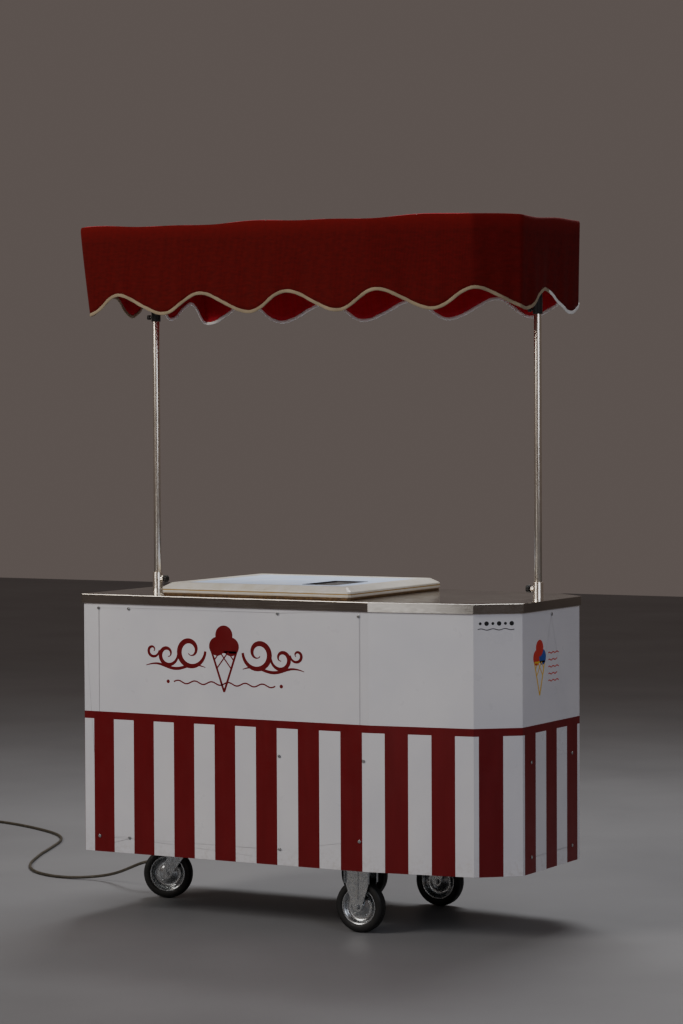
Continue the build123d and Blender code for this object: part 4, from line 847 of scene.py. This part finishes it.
def make_side_emblem():
    """A large cornet between scrolls, over a waved line with a dot at each end."""
    front = facet_matrix(OUTLINE[0], OUTLINE[1])
    mid_u, mid_v = SIDE_MIDDLE
    wafer, scoops = cone_shapes(mid_u, mid_v + 6, 128, front)
    scrolls = []
    for flip in (-1, 1):
        for size, reach, rise, turns in SCROLLS:
            path = swirl(mid_u + flip * reach, mid_v + rise, size, turns, 0 if flip < 0 else pi, flip)
            share = size / SCROLLS[0][0]
            widths = [3 + 15 * share * sin(pi * min(1, 0.12 + i / SWIRL_POINTS)) for i in range(SWIRL_POINTS)]
            scrolls.append(film_ribbon(path, widths, front, LAYER_OUT * len(scrolls)))
        bar = wave_line(mid_u + flip * 70, mid_u + flip * 296, mid_v - 46, 7, 1.5, BAR_POINTS)
        widths = [2 + 8 * sin(pi * i / (BAR_POINTS - 1)) for i in range(BAR_POINTS)]
        scrolls.append(film_ribbon(bar, widths, front, LAYER_OUT * len(scrolls)))
    film_piece("side_emblem_scrolls", scrolls, "red_vinyl")
    film_piece("side_emblem_wafer", wafer, "red_vinyl")
    film_piece("side_emblem_scoops", scoops, "red_vinyl")
    line = wave_line(mid_u - 190, mid_u + 190, mid_v - 96, 5, 6.0, 140)
    under = [film_ribbon(line, [4.5] * 140, front)]
    under += [film_shape(disc(mid_u + side * 212, mid_v - 96, 6), front) for side in (-1, 1)]
    film_piece("side_emblem_underline", under, "red_vinyl")


def make_small_emblems():
    """A row of dots over a waved line on the nose's steep facet, and a small cornet with lines on its end."""
    steep = facet_matrix(OUTLINE[2], OUTLINE[3])
    dots = [film_shape(disc(22 + 20 * i, 992, 7 if i % 2 else 4.5), steep) for i in range(6)]
    line = wave_line(14, 130, 974, 2, 3, BAR_POINTS)
    dots.append(film_ribbon(line, [2.4] * BAR_POINTS, steep))
    film_piece("nose_motif", dots, "ink_black")
    end = facet_matrix(OUTLINE[3], OUTLINE[4])
    wafer, scoops = cone_shapes(*END_MIDDLE, 104, end)
    film_piece("end_emblem_wafer", wafer, "ink_yellow")
    film_piece("end_emblem_scoop_left", scoops[:1], "ink_coral")
    film_piece("end_emblem_scoop_right", scoops[1:2], "ink_blue")
    film_piece("end_emblem_scoop_top", scoops[2:], "ink_coral")
    lines = []
    for row in range(5):
        count = 20 - 3 * (row % 2)
        path = [(186 + 4 * k, 886 - 22 * row + 2 * sin(k * 0.9)) for k in range(count)]
        lines.append(film_ribbon(path, [3.2] * count, end))
    film_piece("end_emblem_lines", lines, "ink_coral")


# ------------------------ finishes on the carried-over nodes
# a finish, the radius of its broken edges in mm, and the nodes that have it
NODE_FINISHES = {
    "painted_sheet": (0.6, ["front_panel", "back_panel", "left_panel", "nose_panel", "service_door",
                            "freezer_shell"]),
    "red_vinyl": (None, ["stripe_film", "door_film"]),
    "worktop": (1.2, ["worktop"]),
    "stainless": (0.4, ["left_socket", "right_socket", "left_post", "right_post", "door_hinge_fixed",
                        "door_hinge_moving", "door_pull", "vent_grille"]),
    "zinc_steel": (0.5, ["panel_screws", "castor_bolts", "fixed_axles", "swivel_axle", "swivel_plate",
                         "swivel_fork", "front_fork", "back_fork", "rear_left_fork", "floor_tray",
                         "lid_hinge_fixed", "lid_hinge_moving"]),
    "frame_steel": (0.8, ["base_frame", "frame_uprights", "top_frame"]),
    "black_plastic": (0.8, ["left_knob", "right_knob", "thermostat", "thermostat_knob", "compressor",
                            "cord_gland"]),
    "collar": (0.6, ["post_collars"]),
    "grey_plastic": (0.8, ["lid_grip"]),
    "plywood": (None, ["worktop_board"]),
    "foam": (None, ["freezer_foam"]),
    "aluminium": (0.6, ["freezer_liner", "condenser", "canopy_frame"]),
    "lid_plastic": (2.5, ["lid_frame"]),
    "lid_sheet": (1.0, ["lid_panel"]),
    "gasket": (1.0, ["lid_gasket"]),
}


def dress_nodes():
    """Gives every carried-over node its finish."""
    for finish, (edge, nodes) in NODE_FINISHES.items():
        for node in nodes:
            dress(node, finish, edge)


# ------------------------ stage
EYE = (4.93293, -8.83502, 1.66596)
YAW, PITCH, ROLL = radians(-29.14), radians(1.965), radians(-0.25)
SENSOR_MM, LENS_MM, FAR_CLIP = 36, 108.984, 60
# name, place, aim, size and colour of each lamp
LAMPS = [
    ("key", (-3.2, -5.2, 4.6), (0, 0, 1.1), (3.2, 2.4), "FFF8F0"),
    ("fill", (5.5, -4.0, 3.4), (0, 0, 1.0), (3.0, 3.0), "EEF3FF"),
    ("strip", (-0.42, -4.3, 0.75), (0.47, -0.34, 1.04), (0.5, 1.3), "FFFFFF"),
    ("top", (-0.6, 2.4, 4.8), (0, 0, 1.2), (3.0, 2.0), "FFFFFF"),
]


def make_camera():
    """A long lens a little above the worktop, off the cart's pointed end."""
    ahead = Vector((sin(YAW) * cos(PITCH), cos(YAW) * cos(PITCH), -sin(PITCH)))
    level = Vector((cos(YAW), -sin(YAW), 0))
    above = level.cross(ahead)
    right = cos(ROLL) * level + sin(ROLL) * above
    up = -sin(ROLL) * level + cos(ROLL) * above
    data = bpy.data.cameras.new("view")
    data.sensor_width = SENSOR_MM
    data.lens = LENS_MM
    data.clip_end = FAR_CLIP
    camera = bpy.data.objects.new("view", data)
    bpy.context.scene.collection.objects.link(camera)
    place = Matrix((right, up, -ahead)).transposed().to_4x4()
    place.translation = EYE
    camera.matrix_world = place
    bpy.context.scene.camera = camera


def lamp(name, place, aim, size, colour, power):
    """A rectangular soft lamp turned to its aim."""
    data = bpy.data.lights.new(name, "AREA")
    data.shape = "RECTANGLE"
    data.size, data.size_y = size
    data.energy = power
    data.color = linear(colour)[:3]
    light = bpy.data.objects.new(name, data)
    bpy.context.scene.collection.objects.link(light)
    turn = (Vector(aim) - Vector(place)).to_track_quat("-Z", "Y")
    light.matrix_world = Matrix.Translation(place) @ turn.to_matrix().to_4x4()


def make_stage(look):
    """A plain pale floor and soft lamps under a quiet grey-brown sky."""
    material, tree, shader, place = start("pale_floor", IOR=1.45, Roughness=0.5)
    tone = patches(tree, place, (900, 4), (0.3, "7C7D80"), (0.75, "898A8D"))
    tree.links.new(tone, shader.inputs["Base Color"])
    mesh = mesh_of("floor", [(-14, -9, 0), (12, -9, 0), (12, 16, 0), (-14, 16, 0)], [(0, 1, 2, 3)])
    floor = bpy.data.objects.new("floor", mesh)
    bpy.context.scene.collection.objects.link(floor)
    mesh.materials.append(material)
    world = bpy.data.worlds.new("quiet_sky")
    bpy.context.scene.world = world
    world.use_nodes = True
    world.node_tree.nodes.clear()
    sky = add(world.node_tree, "ShaderNodeBackground", {"Color": "8A7E79", "Strength": look.sky})
    add(world.node_tree, "ShaderNodeOutputWorld", {"Surface": sky.outputs[0]})
    for name, *setup in LAMPS:
        lamp(name, *setup, getattr(look, name))


# ------------------------ settings, operators, panel
class CartClothSettings(bpy.types.PropertyGroup):
    """Sizes and reds of the canopy and the film"""
    cloth_red: FloatVectorProperty(name="Cloth colour", description="Red of the canopy's threads",
                                   default=linear("5E0705"), size=4, min=0, max=1, subtype="COLOR")
    film_red: FloatVectorProperty(name="Film colour", description="Red of the stripes and the side's emblem",
                                  default=linear("6A060E"), size=4, min=0, max=1, subtype="COLOR")
    canopy_step: FloatProperty(name="Cloth step", description="Spacing of the cloth's mesh round the valance",
                               default=0.009, min=0.004, max=0.05, unit="LENGTH")
    sag: FloatProperty(name="Sag", description="How far the canopy's top hangs between its bars",
                       default=0.004, min=0.0, max=0.03, unit="LENGTH")


class CartStageSettings(bpy.types.PropertyGroup):
    """Brightness of the sky and the lamps"""
    sky: FloatProperty(name="Sky", description="Brightness of the surrounding grey", default=0.44, min=0)
    key: FloatProperty(name="Key lamp", description="Power of the lamp at the front left", default=205,
                       unit="POWER")
    fill: FloatProperty(name="Fill lamp", description="Power of the lamp at the nose", default=78,
                        unit="POWER")
    strip: FloatProperty(name="Strip lamp", description="Power of the strip that the nosing mirrors",
                         default=2.6, unit="POWER")
    top: FloatProperty(name="Top lamp", description="Power of the lamp behind and above", default=170,
                       unit="POWER")


class CART_OT_camera(bpy.types.Operator):
    """Set up the camera"""
    bl_idname = "cart.camera"
    bl_label = "Camera"

    def execute(self, context):
        make_camera()
        return {"FINISHED"}


class CART_OT_finishes(bpy.types.Operator):
    """Make the materials and dress the sheet, frame, posts, lid and fittings with them"""
    bl_idname = "cart.finishes"
    bl_label = "Finishes"

    def execute(self, context):
        make_finishes(context.scene.cart_cloth)
        dress_nodes()
        return {"FINISHED"}


class CART_OT_lead(bpy.types.Operator):
    """Lay the mains lead and its coil"""
    bl_idname = "cart.lead"
    bl_label = "Mains lead"

    def execute(self, context):
        make_lead()
        return {"FINISHED"}


class CART_OT_canopy(bpy.types.Operator):
    """Hang the canopy cloth and bind its hem"""
    bl_idname = "cart.canopy"
    bl_label = "Canopy"

    def execute(self, context):
        make_canopy(context.scene.cart_cloth)
        return {"FINISHED"}


class CART_OT_wheels(bpy.types.Operator):
    """Fit the four castor wheels"""
    bl_idname = "cart.wheels"
    bl_label = "Wheels"

    def execute(self, context):
        for castor in WHEEL_BODIES:
            make_wheel(castor)
        return {"FINISHED"}


class CART_OT_emblems(bpy.types.Operator):
    """Lay the printed decoration on side, nose and end"""
    bl_idname = "cart.emblems"
    bl_label = "Emblems"

    def execute(self, context):
        make_side_emblem()
        make_small_emblems()
        return {"FINISHED"}


class CART_OT_stage(bpy.types.Operator):
    """Lay the floor and hang the lamps"""
    bl_idname = "cart.stage"
    bl_label = "Stage"

    def execute(self, context):
        make_stage(context.scene.cart_stage)
        return {"FINISHED"}


OPERATORS = [CART_OT_camera, CART_OT_finishes, CART_OT_lead, CART_OT_canopy, CART_OT_wheels, CART_OT_emblems,
             CART_OT_stage]


class CART_PT_panel(bpy.types.Panel):
    """The cart's pieces and settings"""
    bl_label = "Vending cart"
    bl_idname = "CART_PT_panel"
    bl_space_type = "VIEW_3D"
    bl_region_type = "UI"
    bl_category = "Cart"

    def draw(self, context):
        layout = self.layout
        for settings in (context.scene.cart_cloth, context.scene.cart_stage):
            for name in settings.__annotations__:
                layout.prop(settings, name)
        for operator in OPERATORS:
            layout.operator(operator.bl_idname)


CLASSES = [CartClothSettings, CartStageSettings, *OPERATORS, CART_PT_panel]


def register():
    for cls in CLASSES:
        bpy.utils.register_class(cls)
    bpy.types.Scene.cart_cloth = PointerProperty(type=CartClothSettings)
    bpy.types.Scene.cart_stage = PointerProperty(type=CartStageSettings)


def unregister():
    del bpy.types.Scene.cart_stage
    del bpy.types.Scene.cart_cloth
    for cls in reversed(CLASSES):
        bpy.utils.unregister_class(cls)


def main():
    register()
    bpy.ops.cart.camera()
    bpy.ops.cart.finishes()
    bpy.ops.cart.lead()
    bpy.ops.cart.canopy()
    bpy.ops.cart.wheels()
    bpy.ops.cart.emblems()
    bpy.ops.cart.stage()
    bpy.context.view_layer.update()


if __name__ == "__main__":
    main()
